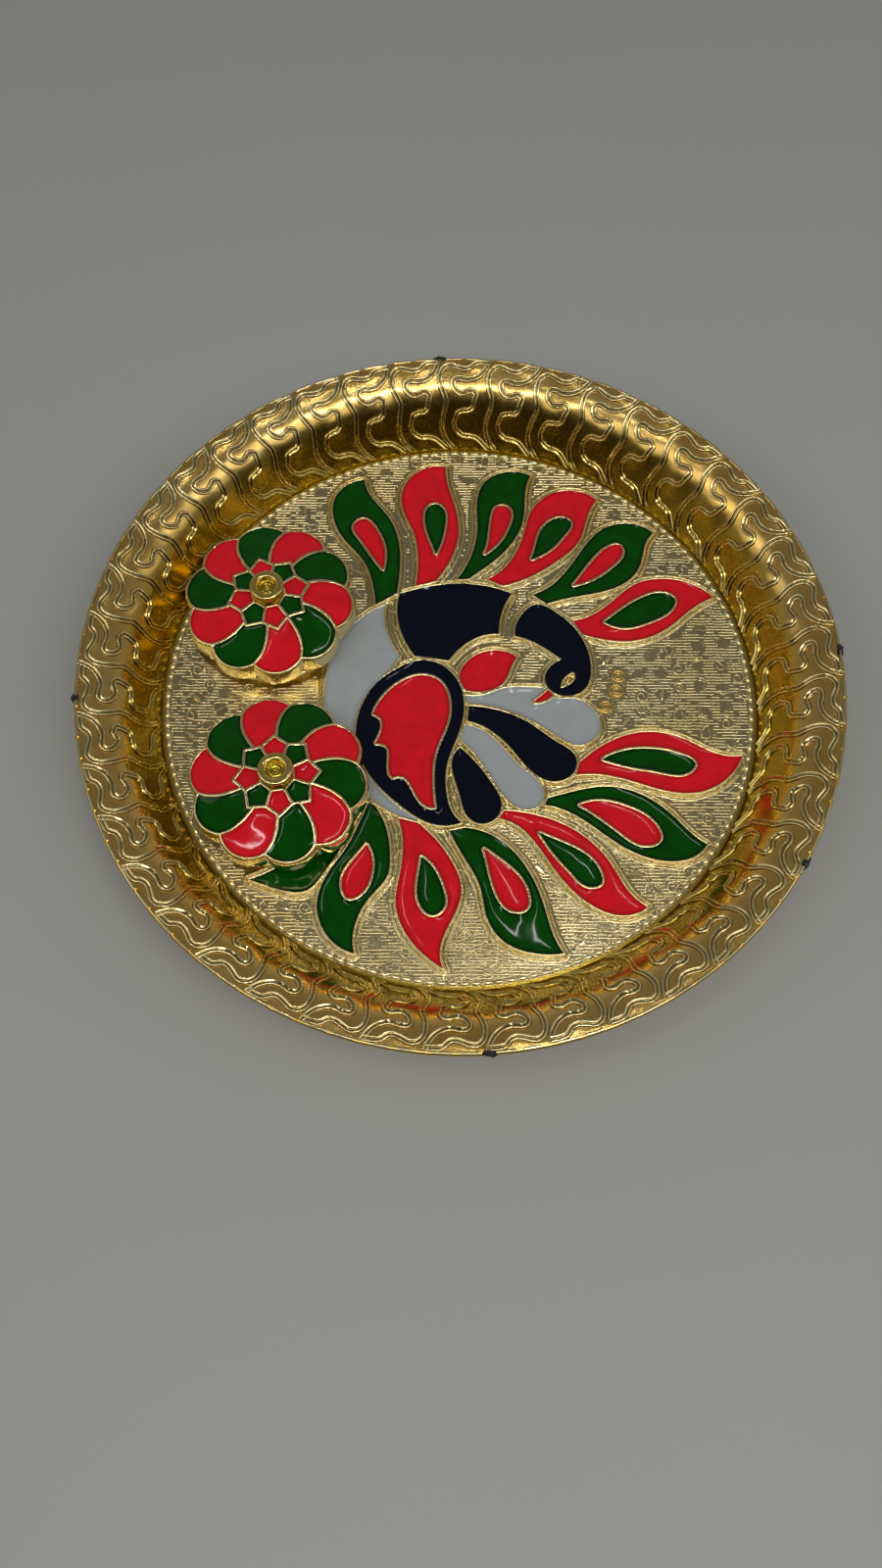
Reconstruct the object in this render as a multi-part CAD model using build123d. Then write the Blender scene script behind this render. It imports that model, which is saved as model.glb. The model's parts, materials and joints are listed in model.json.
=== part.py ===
from build123d import *
import os
from math import cos, degrees, radians, sin, tan

# Plate: a thin moulding with a flat floor and a rim that rolls over to a brim
plate_radius = 90.0
floor_radius = 72.3
floor_thickness = 1.8
rim_rise = 16.0  # lip above the top of the floor
rim_thickness = 1.8
rim_angle = 58.0  # slope of the wall where it leaves the floor
lip_fillet = 0.5
foot_height = 2.5
foot_radius = 62.0
foot_width = 2.5

# Cell walls that stand on the floor, and the enamel poured between them
wall_width = 0.75
wall_height = 0.8
enamel_drop = 0.15  # enamel below the tops of its walls
wall_step_count = 24  # places where a wall's outline is worked out along each curve
rosette_radius = 1.9
rosette_hole_radius = 0.8

# Cups, staked through the floor
cup_radius = 18.2
cup_height = 5.8
cup_wall = 1.3
cup_floor = 1.4
cup_fillet = 0.6
seat_margin = 0.5  # raised seat beyond the cup's wall
stake_radius = 2.5
stake_head_radius = 4.0
stake_head_height = 1.2
stake_clearance = 0.1

# Lids: lobed domes with a round skirt over the cups
lid_tip_radius = 21.1
lid_valley_radius = 19.2
lid_rise = 3.0  # crown above the petals' edge
lid_edge_height = 1.4  # petals' edge above the cup's mouth
lid_thickness = 1.4
skirt_depth = 3.1  # skirt below the cup's mouth
skirt_clearance = 0.3
petal_count = 10
petal_swirl_angle = 10.0  # turn of a petal's sides between its root and its outer edge
petal_root_radius = 6.0
lid_wall_width = 0.7
lid_enamel_depth = 0.65
bud_count = 8
bud_root_radius = 4.3
bud_shoulder_radius = 7.8
bud_tip_radius = 9.6
bud_shoulder_angle = 20.0
bud_root_angle = 18.0

# Knobs, pressed into the crowns of the lids
knob_radius = 4.15
knob_height = 4.0
knob_base_radius = 3.2
knob_seat_depth = 0.2
knob_stem_radius = 1.6
knob_stem_clearance = 0.05
knob_recess_radius = 2.3
knob_recess_depth = 1.5
knob_pip_radius = 0.6
knob_pip_height = 0.7

overrun = 1.0  # cuts run this far past a face

# Heights, from the foot up
floor_top = foot_height + floor_thickness
wall_top = floor_top + wall_height
lip_top = floor_top + rim_rise
cup_top = wall_top + cup_height
lid_crown = cup_top + lid_edge_height + lid_rise
knob_seat = lid_crown - knob_seat_depth

# Places of the cups and rosettes, in shares of the floor's radius
cup_centre_shares = {1: (-0.647, 0.310), 2: (-0.583, -0.351)}
rosette_shares = [(0.542, 0.079), (0.532, 0.024), (0.493, -0.037)]

# Half section of a knob's head, in shares of its radius and height
knob_flank_shares = [(0.64, 0.30), (0.80, 0.62), (1.00, 0.80)]
knob_rim_share = 0.86  # outer edge of the flat ring round the recess

# How much of a petal's swirl its sides have, in even steps from the outer edge to the root
petal_swirl_shares = (1, 0.28, 0, 0)

# Turn of the root of each lid's first green petal, and of its first red bud
lid_petal_angle = {1: 37.5, 2: 4.0}
lid_bud_angle = {1: 16.0, 2: 7.0}

# Feathers, in shares of the floor's radius. The left side runs from the root to the tip,
# the right side from the tip to the root, and the eye is a loop from its pointed end.
upper_feather_shares = [
    {"left": [(-.292, .350), (-.302, .425), (-.340, .527), (-.408, .611), (-.450, .700), (-.448, .785),
              (-.410, .838)],
     "right": [(-.347, .862), (-.325, .797), (-.263, .716), (-.220, .610), (-.212, .500), (-.221, .395)],
     "eye": [(-.271, .492), (-.303, .537), (-.355, .617), (-.377, .670), (-.347, .697), (-.300, .655),
             (-.268, .575)]},
    {"left": [(-.153, .426), (-.145, .540), (-.165, .648), (-.204, .745), (-.203, .825), (-.150, .900)],
     "right": [(-.053, .921), (-.045, .845), (-.013, .726), (-.005, .650), (-.029, .542), (-.087, .445)],
     "eye": [(-.084, .558), (-.108, .626), (-.123, .705), (-.110, .750), (-.087, .761), (-.061, .742),
             (-.053, .680), (-.068, .600)]},
    {"left": [(-.008, .453), (.040, .540), (.065, .660), (.064, .770), (.095, .860), (.165, .900)],
     "right": [(.255, .885), (.235, .810), (.226, .700), (.180, .596), (.103, .514), (.029, .455)],
     "eye": [(.089, .558), (.108, .632), (.118, .715), (.133, .750), (.155, .757), (.180, .738),
             (.176, .680), (.140, .608)]},
    {"left": [(.100, .453), (.175, .518), (.228, .630), (.262, .740), (.325, .805), (.410, .822)],
     "right": [(.492, .784), (.455, .710), (.425, .615), (.340, .527), (.240, .462), (.153, .428)],
     "eye": [(.255, .537), (.274, .600), (.295, .660), (.330, .697), (.368, .707), (.396, .690),
             (.375, .640), (.325, .580)]},
    {"left": [(.258, .392), (.335, .440), (.395, .513), (.450, .595), (.510, .660), (.590, .685)],
     "right": [(.689, .647), (.655, .590), (.636, .515), (.590, .452), (.480, .403), (.305, .358)],
     "eye": [(.400, .432), (.440, .487), (.490, .553), (.535, .590), (.565, .596), (.577, .573),
             (.545, .518), (.475, .462)]},
    {"left": [(.395, .289), (.475, .320), (.548, .380), (.625, .440), (.711, .458), (.800, .443)],
     "right": [(.884, .387), (.800, .335), (.715, .263), (.610, .217), (.500, .219), (.426, .239)],
     "eye": [(.505, .287), (.574, .342), (.650, .388), (.715, .400), (.750, .378), (.735, .337),
             (.665, .292), (.580, .266)]},
]
lower_feather_shares = [
    {"left": [(-.296, -.390), (-.320, -.450), (-.366, -.550), (-.424, -.640), (-.450, -.735), (-.420, -.828)],
     "right": [(-.330, -.892), (-.330, -.800), (-.285, -.710), (-.232, -.640), (-.224, -.570),
               (-.245, -.460), (-.278, -.400)],
     "eye": [(-.300, -.535), (-.345, -.595), (-.374, -.665), (-.350, -.715), (-.315, -.700),
             (-.284, -.640), (-.284, -.570)]},
    {"left": [(-.197, -.445), (-.180, -.540), (-.190, -.640), (-.200, -.715), (-.175, -.813), (-.120, -.885)],
     "right": [(-.053, -.937), (-.050, -.835), (-.010, -.750), (.005, -.680), (-.025, -.590),
               (-.085, -.508), (-.134, -.461)],
     "eye": [(-.121, -.576), (-.132, -.660), (-.122, -.735), (-.085, -.767), (-.052, -.745),
             (-.055, -.675), (-.085, -.612)]},
    {"left": [(-.029, -.487), (.020, -.580), (.070, -.680), (.088, -.770), (.140, -.850), (.230, -.887)],
     "right": [(.325, -.888), (.285, -.800), (.262, -.715), (.215, -.610), (.135, -.520), (.018, -.476)],
     "eye": [(.080, -.547), (.097, -.613), (.120, -.695), (.170, -.752), (.212, -.745), (.218, -.700),
             (.170, -.618)]},
    {"left": [(.132, -.440), (.206, -.476), (.270, -.555), (.335, -.650), (.420, -.730), (.500, -.762)],
     "right": [(.596, -.738), (.535, -.680), (.480, -.585), (.400, -.500), (.290, -.442), (.147, -.416)],
     "eye": [(.262, -.492), (.310, -.565), (.365, -.630), (.415, -.670), (.452, -.660), (.450, -.620),
             (.380, -.547)]},
    {"left": [(.291, -.371), (.390, -.343), (.500, -.329), (.600, -.357), (.688, -.421), (.750, -.487)],
     "right": [(.800, -.526), (.735, -.575), (.640, -.578), (.540, -.540), (.440, -.468), (.360, -.416),
               (.282, -.392)],
     "eye": [(.395, -.393), (.470, -.380), (.560, -.404), (.640, -.465), (.650, -.510), (.610, -.530),
             (.530, -.492), (.450, -.428)]},
    {"left": [(.400, -.244), (.440, -.208), (.540, -.150), (.630, -.131), (.740, -.151), (.850, -.206)],
     "right": [(.938, -.216), (.890, -.287), (.800, -.340), (.700, -.343), (.580, -.309), (.470, -.283),
               (.388, -.285)],
     "eye": [(.478, -.230), (.560, -.197), (.650, -.193), (.740, -.214), (.780, -.245), (.765, -.268),
             (.660, -.272), (.560, -.254)]},
]
lower_leaf_shares = [
    [(-.315, -.395), (-.345, -.460), (-.390, -.555), (-.448, -.650), (-.480, -.685), (-.560, -.690)],
    [(-.670, -.655), (-.560, -.600), (-.450, -.500), (-.360, -.400)],
]

# The bird's cells, in shares of the floor's radius. Each list is a curve from one corner
# to the first point of the next list.
bird_shares = {
    "body_white": [
        [(-.260, .345), (-.263, .290), (-.240, .205)],
        [(-.207, .147), (-.260, .073), (-.325, -.012), (-.353, -.110), (-.340, -.225), (-.270, -.335),
         (-.185, -.417)],
        [(-.140, -.446), (-.235, -.413), (-.330, -.330), (-.415, -.180), (-.455, 0), (-.430, .160),
         (-.350, .285)],
    ],
    "neck_enamel": [
        [(-.207, .392), (-.100, .422), (0, .433), (.090, .424)],
        [(.180, .396), (.150, .335)],
        [(.134, .238), (.074, .229), (.020, .198)],
        [(-.037, .134), (-.090, .142)],
        [(-.152, .150), (-.185, .205), (-.212, .290)],
    ],
    "head_enamel": [
        [(.194, .230), (.245, .212), (.310, .172)],
        [(.353, .139), (.310, .110), (.292, .065), (.312, .022), (.372, .003), (.425, .030), (.447, .100),
         (.432, .195), (.385, .275), (.325, .328), (.268, .353), (.225, .322), (.198, .275)],
    ],
    "breast_leaf": [
        [(.195, .147), (.116, .171), (.040, .141), (.004, .085)],
        [(.024, .022), (.085, .018), (.147, .049), (.170, .095)],
    ],
    "beak_enamel": [
        [(.300, .022)],
        [(.316, .006), (.290, -.014)],
        [(.250, -.022), (.278, 0)],
    ],
    "wing_band": [
        [(.005, -.456), (-.022, -.425), (-.045, -.345), (-.045, -.265), (-.010, -.155), (.013, -.060),
         (.003, .030), (-.045, .103), (-.121, .132), (-.215, .098), (-.295, .025), (-.340, -.085),
         (-.338, -.200), (-.287, -.303), (-.192, -.397), (-.090, -.460)],
    ],
    "wing_heart": [
        [(-.082, -.404), (-.090, -.315), (-.080, -.205), (-.045, -.110), (-.036, -.020), (-.075, .058),
         (-.126, .074), (-.200, .048), (-.260, -.012)],
        [(-.288, -.070), (-.258, -.100), (-.262, -.140)],
        [(-.278, -.178), (-.236, -.196), (-.233, -.265)],
        [(-.220, -.300), (-.185, -.297), (-.140, -.362)],
    ],
    "quill_white_1": [
        [(.029, -.026)],
        [(.024, 0), (.090, .004), (.150, .027), (.215, .033)],
        [(.284, .030), (.330, -.010), (.390, -.010), (.445, -.045), (.471, -.100), (.445, -.158),
         (.395, -.178), (.330, -.147), (.220, -.076), (.100, -.036)],
    ],
    "quill_navy_1": [
        [(.034, -.040), (.130, -.055), (.220, -.092), (.330, -.173), (.385, -.222), (.378, -.275),
         (.310, -.309), (.242, -.276), (.180, -.200), (.110, -.130)],
        [(.029, -.093)],
    ],
    "quill_white_2": [
        [(.020, -.111), (.085, -.135), (.150, -.198), (.207, -.264), (.272, -.335), (.265, -.388),
         (.205, -.405), (.150, -.362), (.105, -.290), (.055, -.215)],
        [(.004, -.160)],
    ],
    "quill_navy_2": [
        [(.003, -.193), (.060, -.253), (.110, -.325), (.136, -.385), (.120, -.437), (.075, -.459),
         (.030, -.437), (.005, -.370), (-.018, -.290), (-.022, -.235)],
    ],
}
bird_eye_shares = [
    [(.341, .029), (.353, .068)],
    [(.390, .094), (.396, .070), (.370, .040)],
]


def place(share):
    return Vector(share[0], share[1]) * floor_radius


def polar(radius, angle):
    return Vector(radius * cos(radians(angle)), radius * sin(radians(angle)))


def outline_edges(curves):
    """Edges of a closed line of curves, each from its first point to the next one's."""
    edges = []
    for number, curve in enumerate(curves):
        corner = curves[(number + 1) % len(curves)][0]
        points = [place(share) for share in curve + [corner]]
        edges.append(Line(*points) if len(points) == 2 else Spline(*points))
    return edges


def outline(curves):
    return Face(Wire(outline_edges(curves)))


def crossing(first, second):
    """Where the last third of one chain of points crosses the first third of the next, or None."""
    third = wall_step_count // 3
    for end in range(wall_step_count, wall_step_count - third, -1):
        for start in range(third):
            a, b = first[end - 1], second[start]
            along, across, apart = first[end] - a, second[start + 1] - b, b - a
            spread = along.cross(across).Z
            if spread == 0:
                continue
            if 0 <= apart.cross(across).Z / spread <= 1 and 0 <= apart.cross(along).Z / spread <= 1:
                return end, start + 1, a + along * (apart.cross(across).Z / spread)
    return None


def walled(curves):
    """Outline one wall's width outside a cell: round at its points, cut off square in its notches."""
    edges = outline_edges(curves)
    turn = 1 if Face(Wire(edges)).normal_at().Z > 0 else -1
    sides = []
    for edge in edges:
        steps = [step / wall_step_count for step in range(wall_step_count + 1)]
        sides.append([edge @ step + (edge % step).rotate(Axis.Z, -90 * turn) * wall_width for step in steps])
    joints = []
    for number, side in enumerate(sides):
        following = sides[(number + 1) % len(sides)]
        tip = edges[number] @ 1
        outward = (side[-1] + following[0]) / 2 - tip
        joints.append((crossing(side, following), tip, outward))
    made = []
    for number, side in enumerate(sides):
        met, tip, outward = joints[number]
        met_before = joints[number - 1][0]
        points = side[:met[0]] + [met[2]] if met else side
        if met_before:
            points = [met_before[2]] + points[met_before[1]:]
        made.append(Line(*points) if len(points) == 2 else Spline(*points))
        if not met:
            following = sides[(number + 1) % len(sides)]
            made.append(ThreePointArc(side[-1], tip + outward.normalized() * wall_width, following[0]))
    return Face(Wire(made))


def feather_curves(shares):
    return [shares["left"], shares["right"][:-1], shares["right"][-1:]]


def upright(face, foot, top):
    return Pos(0, 0, foot) * extrude(face, top - foot, dir=(0, 0, 1))


def cup_centre(number):
    return place(cup_centre_shares[number])


def disc(radius, centre):
    return Pos(centre.X, centre.Y) * Circle(radius)


# Enamel cells by node, and the outlines that their walls stand round
cells = {}
walled_outlines = []
seats = Sketch() + [disc(cup_radius + seat_margin, cup_centre(number)) for number in cup_centre_shares]
for side, table in (("upper", upper_feather_shares), ("lower", lower_feather_shares)):
    for number, shares in enumerate(table, 1):
        field = feather_curves(shares)
        eye = [shares["eye"]]
        cells[f"{side}_feather_{number}_field"] = outline(field) - walled(eye)
        cells[f"{side}_feather_{number}_eye"] = outline(eye)
        walled_outlines.append(field)
cells["lower_leaf"] = outline(lower_leaf_shares) - seats
walled_outlines.append(lower_leaf_shares)
for node, curves in bird_shares.items():
    cells[node] = outline(curves)
    walled_outlines.append(curves)
cells["body_white"] -= seats
cells["head_enamel"] -= outline(bird_eye_shares)
cells["wing_band"] -= walled(bird_shares["wing_heart"])
cells["quill_white_1"] -= walled(bird_shares["beak_enamel"])

pieces = {}
for node, face in cells.items():
    pieces[node] = upright(face, floor_top, wall_top - enamel_drop)


def rim_profile():
    """Half section of the plate: floor, straight wall, and an arc that ends level at the lip."""
    slope = radians(rim_angle)
    reach = plate_radius - floor_radius
    straight = (rim_rise - reach * tan(slope / 2)) / (tan(slope) - tan(slope / 2))
    bend = Vector(floor_radius + straight, floor_top + straight * tan(slope))
    roll_radius = (plate_radius - bend.X) / sin(slope)
    centre = Vector(plate_radius, lip_top - roll_radius)
    half = radians(90 + rim_angle / 2)
    inward = Vector(sin(slope), -cos(slope)) * rim_thickness
    under_bend = bend + inward
    under_floor = Vector(under_bend.X - (under_bend.Y - foot_height) / tan(slope), foot_height)
    middle = Vector(cos(half), sin(half))
    under_radius = roll_radius - rim_thickness
    edges = [
        Line((0, foot_height), (0, floor_top)),
        Line((0, floor_top), (floor_radius, floor_top)),
        Line((floor_radius, floor_top), bend),
        ThreePointArc(bend, centre + middle * roll_radius, (plate_radius, lip_top)),
        Line((plate_radius, lip_top), (plate_radius, lip_top - rim_thickness)),
        ThreePointArc((plate_radius, lip_top - rim_thickness), centre + middle * under_radius, under_bend),
        Line(under_bend, under_floor),
        Line(under_floor, (0, foot_height)),
    ]
    return Plane.XZ * Face(Wire(edges))


def plate_shell():
    dish = revolve(rim_profile(), Axis.Z)
    lip_edges = dish.edges().filter_by(GeomType.CIRCLE).group_by(lambda edge: edge.radius)[-1]
    dish = fillet(lip_edges, lip_fillet)
    foot = upright(Circle(foot_radius) - Circle(foot_radius - foot_width), 0, foot_height)
    raised = Sketch() + [walled(curves) for curves in walled_outlines]
    raised = raised + seats - [face for face in cells.values()]
    for share in rosette_shares:
        ring = Circle(rosette_radius) - Circle(rosette_hole_radius)
        raised += Pos(place(share).X, place(share).Y) * ring
    shell = dish + foot + upright(raised, floor_top, wall_top)
    for number in cup_centre_shares:
        shell -= upright(disc(stake_radius + stake_clearance, cup_centre(number)), 0, wall_top + overrun)
    return shell


def cup(number):
    """Open cup whose stake passes through the plate and is spread under it."""
    centre = cup_centre(number)
    wall = Cylinder(cup_radius, cup_height, align=(Align.CENTER, Align.CENTER, Align.MIN))
    wall = fillet(wall.edges().group_by(Axis.Z)[0], cup_fillet)
    inside = Cylinder(cup_radius - cup_wall, cup_height, align=(Align.CENTER, Align.CENTER, Align.MIN))
    inside = fillet(inside.edges().group_by(Axis.Z)[0], cup_fillet)
    bowl = Pos(centre.X, centre.Y, wall_top) * (wall - Pos(0, 0, cup_floor) * inside)
    stake_foot = foot_height - stake_head_height
    stake = upright(disc(stake_radius, centre), stake_foot, wall_top + cup_floor / 2)
    head = upright(disc(stake_head_radius, centre), stake_foot, foot_height)
    return bowl + stake + head


def petal_angle(number, petal):
    """Turn of the middle of a petal's root."""
    return lid_petal_angle[number] + petal * 360 / petal_count


def lobe(angle, tip_radius, valley_radius, half_angle):
    """Round outer edge of one petal."""
    return ThreePointArc(polar(valley_radius, angle + half_angle), polar(tip_radius, angle),
                         polar(valley_radius, angle - half_angle))


def lobed_outline(number):
    half_angle = 180 / petal_count
    lobes = []
    for petal in range(petal_count):
        angle = petal_angle(number, petal) - petal_swirl_angle
        lobes.append(lobe(angle, lid_tip_radius, lid_valley_radius, half_angle))
    return Face(Wire(lobes))


def petal_side(angle, turn):
    """Side of a petal from its outer edge to its root, turn degrees past the petal's middle line."""
    outer = lid_valley_radius - lid_wall_width
    last_step = len(petal_swirl_shares) - 1
    points = []
    for step, share in enumerate(petal_swirl_shares):
        radius = outer + (petal_root_radius - outer) * step / last_step
        half_wall = degrees(lid_wall_width / 2 / radius)
        inset = half_wall if turn < 0 else -half_wall
        points.append(polar(radius, angle + turn - petal_swirl_angle * share + inset))
    return points


def petal_face(number, petal):
    angle = petal_angle(number, petal)
    half_angle = 180 / petal_count
    left = petal_side(angle, half_angle)
    right = petal_side(angle, -half_angle)
    tip = polar(lid_tip_radius - lid_wall_width, angle - petal_swirl_angle)
    edges = [
        ThreePointArc(left[0], tip, right[0]),
        Spline(*right),
        Line(right[-1], left[-1]),
        Spline(*reversed(left)),
    ]
    return Face(Wire(edges))


def bud_face(number, bud):
    angle = lid_bud_angle[number] + bud * 360 / bud_count
    corners = [
        polar(bud_root_radius, angle + bud_root_angle),
        polar(bud_root_radius, angle - bud_root_angle),
        polar(bud_shoulder_radius, angle - bud_shoulder_angle),
        polar(bud_tip_radius, angle),
        polar(bud_shoulder_radius, angle + bud_shoulder_angle),
    ]
    return Face(Wire(Polyline(*corners, close=True)))


def lid_pieces(number):
    """Shell of a lid and the enamel in its pockets, by node."""
    centre = cup_centre(number)
    name = f"lid_{number}"
    dome_radius = (lid_tip_radius ** 2 + lid_rise ** 2) / (2 * lid_rise)
    dome_centre = Pos(0, 0, lid_crown - dome_radius)
    low = (Align.CENTER, Align.CENTER, Align.MIN)
    dome = dome_centre * Sphere(dome_radius)
    pocket_floor = dome_centre * Sphere(dome_radius - lid_enamel_depth)
    ceiling = dome_centre * Sphere(dome_radius - lid_thickness)
    skirt_foot = cup_top - skirt_depth
    tall = lid_crown + overrun - skirt_foot
    body = upright(lobed_outline(number), skirt_foot, lid_crown + overrun) & dome
    bore_radius = cup_radius + skirt_clearance
    body -= Pos(0, 0, skirt_foot) * Cylinder(bore_radius, skirt_depth, align=low)
    body -= Pos(0, 0, cup_top) * Cylinder(cup_radius - cup_wall, tall, align=low) & ceiling
    body -= Pos(0, 0, knob_seat) * Cylinder(knob_base_radius, overrun, align=low)
    body -= Pos(0, 0, cup_top) * Cylinder(knob_stem_radius + knob_stem_clearance, tall, align=low)
    buds = [bud_face(number, bud) for bud in range(bud_count)]
    bud_walls = [offset(face, amount=lid_wall_width, kind=Kind.INTERSECTION) for face in buds]
    petals = [petal_face(number, petal) - bud_walls for petal in range(petal_count)]
    enamel = {
        f"{name}_petals_green": petals[0::2],
        f"{name}_petals_red": petals[1::2],
        f"{name}_buds_red": buds[0::2],
        f"{name}_buds_green": buds[1::2],
    }
    made = {}
    for node, faces in enamel.items():
        fills = [(upright(face, cup_top, lid_crown + overrun) & dome) - pocket_floor for face in faces]
        made[node] = Part() + fills
        body -= made[node]
    made[f"{name}_shell"] = body
    return {node: Pos(centre.X, centre.Y) * piece for node, piece in made.items()}


def knob(number):
    """Flared knob with a round recess on top and a stem down through the lid's crown."""
    centre = cup_centre(number)
    top = knob_seat + knob_height
    flank = [Vector(knob_base_radius, knob_seat)]
    for radius_share, height_share in knob_flank_shares:
        flank.append(Vector(radius_share * knob_radius, knob_seat + height_share * knob_height))
    brow = Vector(knob_rim_share * knob_radius, top)
    recess_floor = top - knob_recess_depth
    stem_foot = lid_crown - lid_thickness
    edges = [
        Line((0, stem_foot), (knob_stem_radius, stem_foot)),
        Line((knob_stem_radius, stem_foot), (knob_stem_radius, knob_seat)),
        Line((knob_stem_radius, knob_seat), flank[0]),
        Spline(*flank),
        Line(flank[-1], brow),
        Line(brow, (knob_recess_radius, top)),
        Line((knob_recess_radius, top), (knob_recess_radius, recess_floor)),
        Line((knob_recess_radius, recess_floor), (knob_pip_radius, recess_floor)),
        Line((knob_pip_radius, recess_floor), (0, recess_floor + knob_pip_height)),
        Line((0, recess_floor + knob_pip_height), (0, stem_foot)),
    ]
    return Pos(centre.X, centre.Y) * revolve(Plane.XZ * Face(Wire(edges)), Axis.Z)


pieces["plate_shell"] = plate_shell()
for number in cup_centre_shares:
    pieces[f"cup_{number}"] = cup(number)
    pieces |= lid_pieces(number)
    pieces[f"lid_{number}_knob"] = knob(number)

os.makedirs("parts", exist_ok=True)
for node, piece in pieces.items():
    export_step(piece, f"parts/{node}.step")
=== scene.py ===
import bmesh
import bpy
import json
import math
import random
from mathutils import Matrix, Vector, kdtree
from mathutils.geometry import delaunay_2d_cdt


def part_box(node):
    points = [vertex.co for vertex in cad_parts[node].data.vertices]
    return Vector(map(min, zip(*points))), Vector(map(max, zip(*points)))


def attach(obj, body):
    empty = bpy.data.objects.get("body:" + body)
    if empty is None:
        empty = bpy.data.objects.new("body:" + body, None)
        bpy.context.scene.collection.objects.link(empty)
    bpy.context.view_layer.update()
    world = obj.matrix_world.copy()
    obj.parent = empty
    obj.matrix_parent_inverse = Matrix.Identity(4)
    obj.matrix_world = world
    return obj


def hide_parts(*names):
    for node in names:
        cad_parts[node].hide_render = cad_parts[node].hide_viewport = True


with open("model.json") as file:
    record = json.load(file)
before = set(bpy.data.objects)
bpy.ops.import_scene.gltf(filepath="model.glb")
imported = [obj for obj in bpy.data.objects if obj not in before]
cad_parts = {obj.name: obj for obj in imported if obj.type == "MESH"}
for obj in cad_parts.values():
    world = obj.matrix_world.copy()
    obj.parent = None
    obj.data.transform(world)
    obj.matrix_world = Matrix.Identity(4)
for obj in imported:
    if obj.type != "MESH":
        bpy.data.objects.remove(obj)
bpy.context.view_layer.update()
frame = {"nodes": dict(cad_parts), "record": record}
record = frame["record"]
slotOf = {row["node"]: row["material_slot"] for row in record["subparts"]}
bodyOf = {node: body for body, nodes in record["behaviour"]["bodies"].items() for node in nodes}

# places that everything else is measured from
plateRadius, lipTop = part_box("plate_shell")[1].x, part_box("plate_shell")[1].z
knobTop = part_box("lid_1_knob")[1].z
floorTop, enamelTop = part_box("body_white")[0].z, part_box("body_white")[1].z
lidNumbers = (1, 2)
cupCentre = {n: ((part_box(f"cup_{n}")[0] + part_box(f"cup_{n}")[1]) / 2).xy for n in lidNumbers}
hairGap = 1e-7


# small mesh helpers

def linkObject(name, mesh):
    made = bpy.data.objects.new(name, mesh)
    bpy.context.scene.collection.objects.link(made)
    return made


def plainMesh(name, verts, edges, faces):
    mesh = bpy.data.meshes.new(name)
    mesh.from_pydata(verts, edges, faces)
    return mesh


def solidMesh(name, verts, faces, sharpAngle=50):
    mesh = plainMesh(name, verts, [], faces)
    shape = bmesh.new()
    shape.from_mesh(mesh)
    bmesh.ops.remove_doubles(shape, verts=shape.verts, dist=hairGap)
    bmesh.ops.delete(shape, geom=[v for v in shape.verts if not v.link_faces], context="VERTS")
    bmesh.ops.recalc_face_normals(shape, faces=shape.faces)
    shape.to_mesh(mesh)
    shape.free()
    smoothen(mesh, sharpAngle)
    return linkObject(name, mesh)


def smoothen(mesh, sharpAngle):
    mesh.polygons.foreach_set("use_smooth", [True] * len(mesh.polygons))
    mesh.set_sharp_from_angle(angle=math.radians(sharpAngle))


def addTo(verts, faces, moreVerts, moreFaces=()):
    # joins points and faces on to a shape, and tells where they start
    base = len(verts)
    verts += moreVerts
    faces += [[base + k for k in face] for face in moreFaces]
    return base


def dress(piece, material, body, *nodes, slotName="gold_plating"):
    piece.data.materials.clear()
    piece.data.materials.append(material)
    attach(piece, body)
    if nodes:
        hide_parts(*nodes)
    return piece


def polar(radius, angle, centre=(0, 0)):
    return Vector((centre[0] + radius * math.cos(angle), centre[1] + radius * math.sin(angle)))


def ringPoints(radius, count, centre=(0, 0)):
    return [polar(radius, math.tau * k / count, centre) for k in range(count)]


def arcPoints(radius, start, end, steps, centre=(0, 0)):
    # from one angle to another, in degrees
    turns = [math.radians(start + (end - start) * k / steps) for k in range(steps + 1)]
    return [polar(radius, turn, centre) for turn in turns]


def lathe(profile, steps, centre=(0, 0)):
    # turns a half section about an upright axis; points on the axis become poles
    verts, rings, faces = [], [], []
    for radius, height in profile:
        points = ringPoints(radius, 1 if radius < hairGap else steps, centre)
        rings.append([len(verts) + k for k in range(len(points))])
        verts += [(*point, height) for point in points]
    for low, high in zip(rings, rings[1:]):
        for k in range(steps):
            n = (k + 1) % steps
            corners = [low[k % len(low)], low[n % len(low)], high[n % len(high)], high[k % len(high)]]
            faces.append(list(dict.fromkeys(corners)))
    return verts, faces


def splineThrough(points, closed=False, fine=8):
    # smooth line through given points
    count = len(points)
    line = []
    for i in range(count if closed else count - 1):
        b, c = points[i], points[(i + 1) % count]
        a = points[i - 1] if closed or i else b * 2 - c
        d = points[(i + 2) % count] if closed or i + 2 < count else c * 2 - b
        for k in range(fine):
            t = k / fine
            bend = (a * 2 - b * 5 + c * 4 - d) * t * t + (b * 3 - a - c * 3 + d) * t ** 3
            line.append((b * 2 + (c - a) * t + bend) / 2)
    return line if closed else line + [points[-1]]


def evenSteps(points, stride, closed=False):
    # the same line, walked in equal strides
    chain = points + points[:1] if closed else points
    reach = [0.0]
    for a, b in zip(chain, chain[1:]):
        reach.append(reach[-1] + (b - a).length)
    count = max(3 if closed else 1, round(reach[-1] / stride))
    line, at = [], 0
    for k in range(count if closed else count + 1):
        goal = reach[-1] * k / count
        while at < len(chain) - 2 and reach[at + 1] < goal:
            at += 1
        span = reach[at + 1] - reach[at]
        line.append(chain[at].lerp(chain[at + 1], (goal - reach[at]) / span if span else 0))
    return line


def ease(low, high, value):
    t = min(1, max(0, (value - low) / (high - low)))
    return t * t * (3 - 2 * t)


def bump(low, high, value):
    # round hump between two places, 1 at its top
    t = (2 * value - low - high) / (high - low)
    return math.sqrt(1 - t * t) if abs(t) < 1 else 0.0


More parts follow.
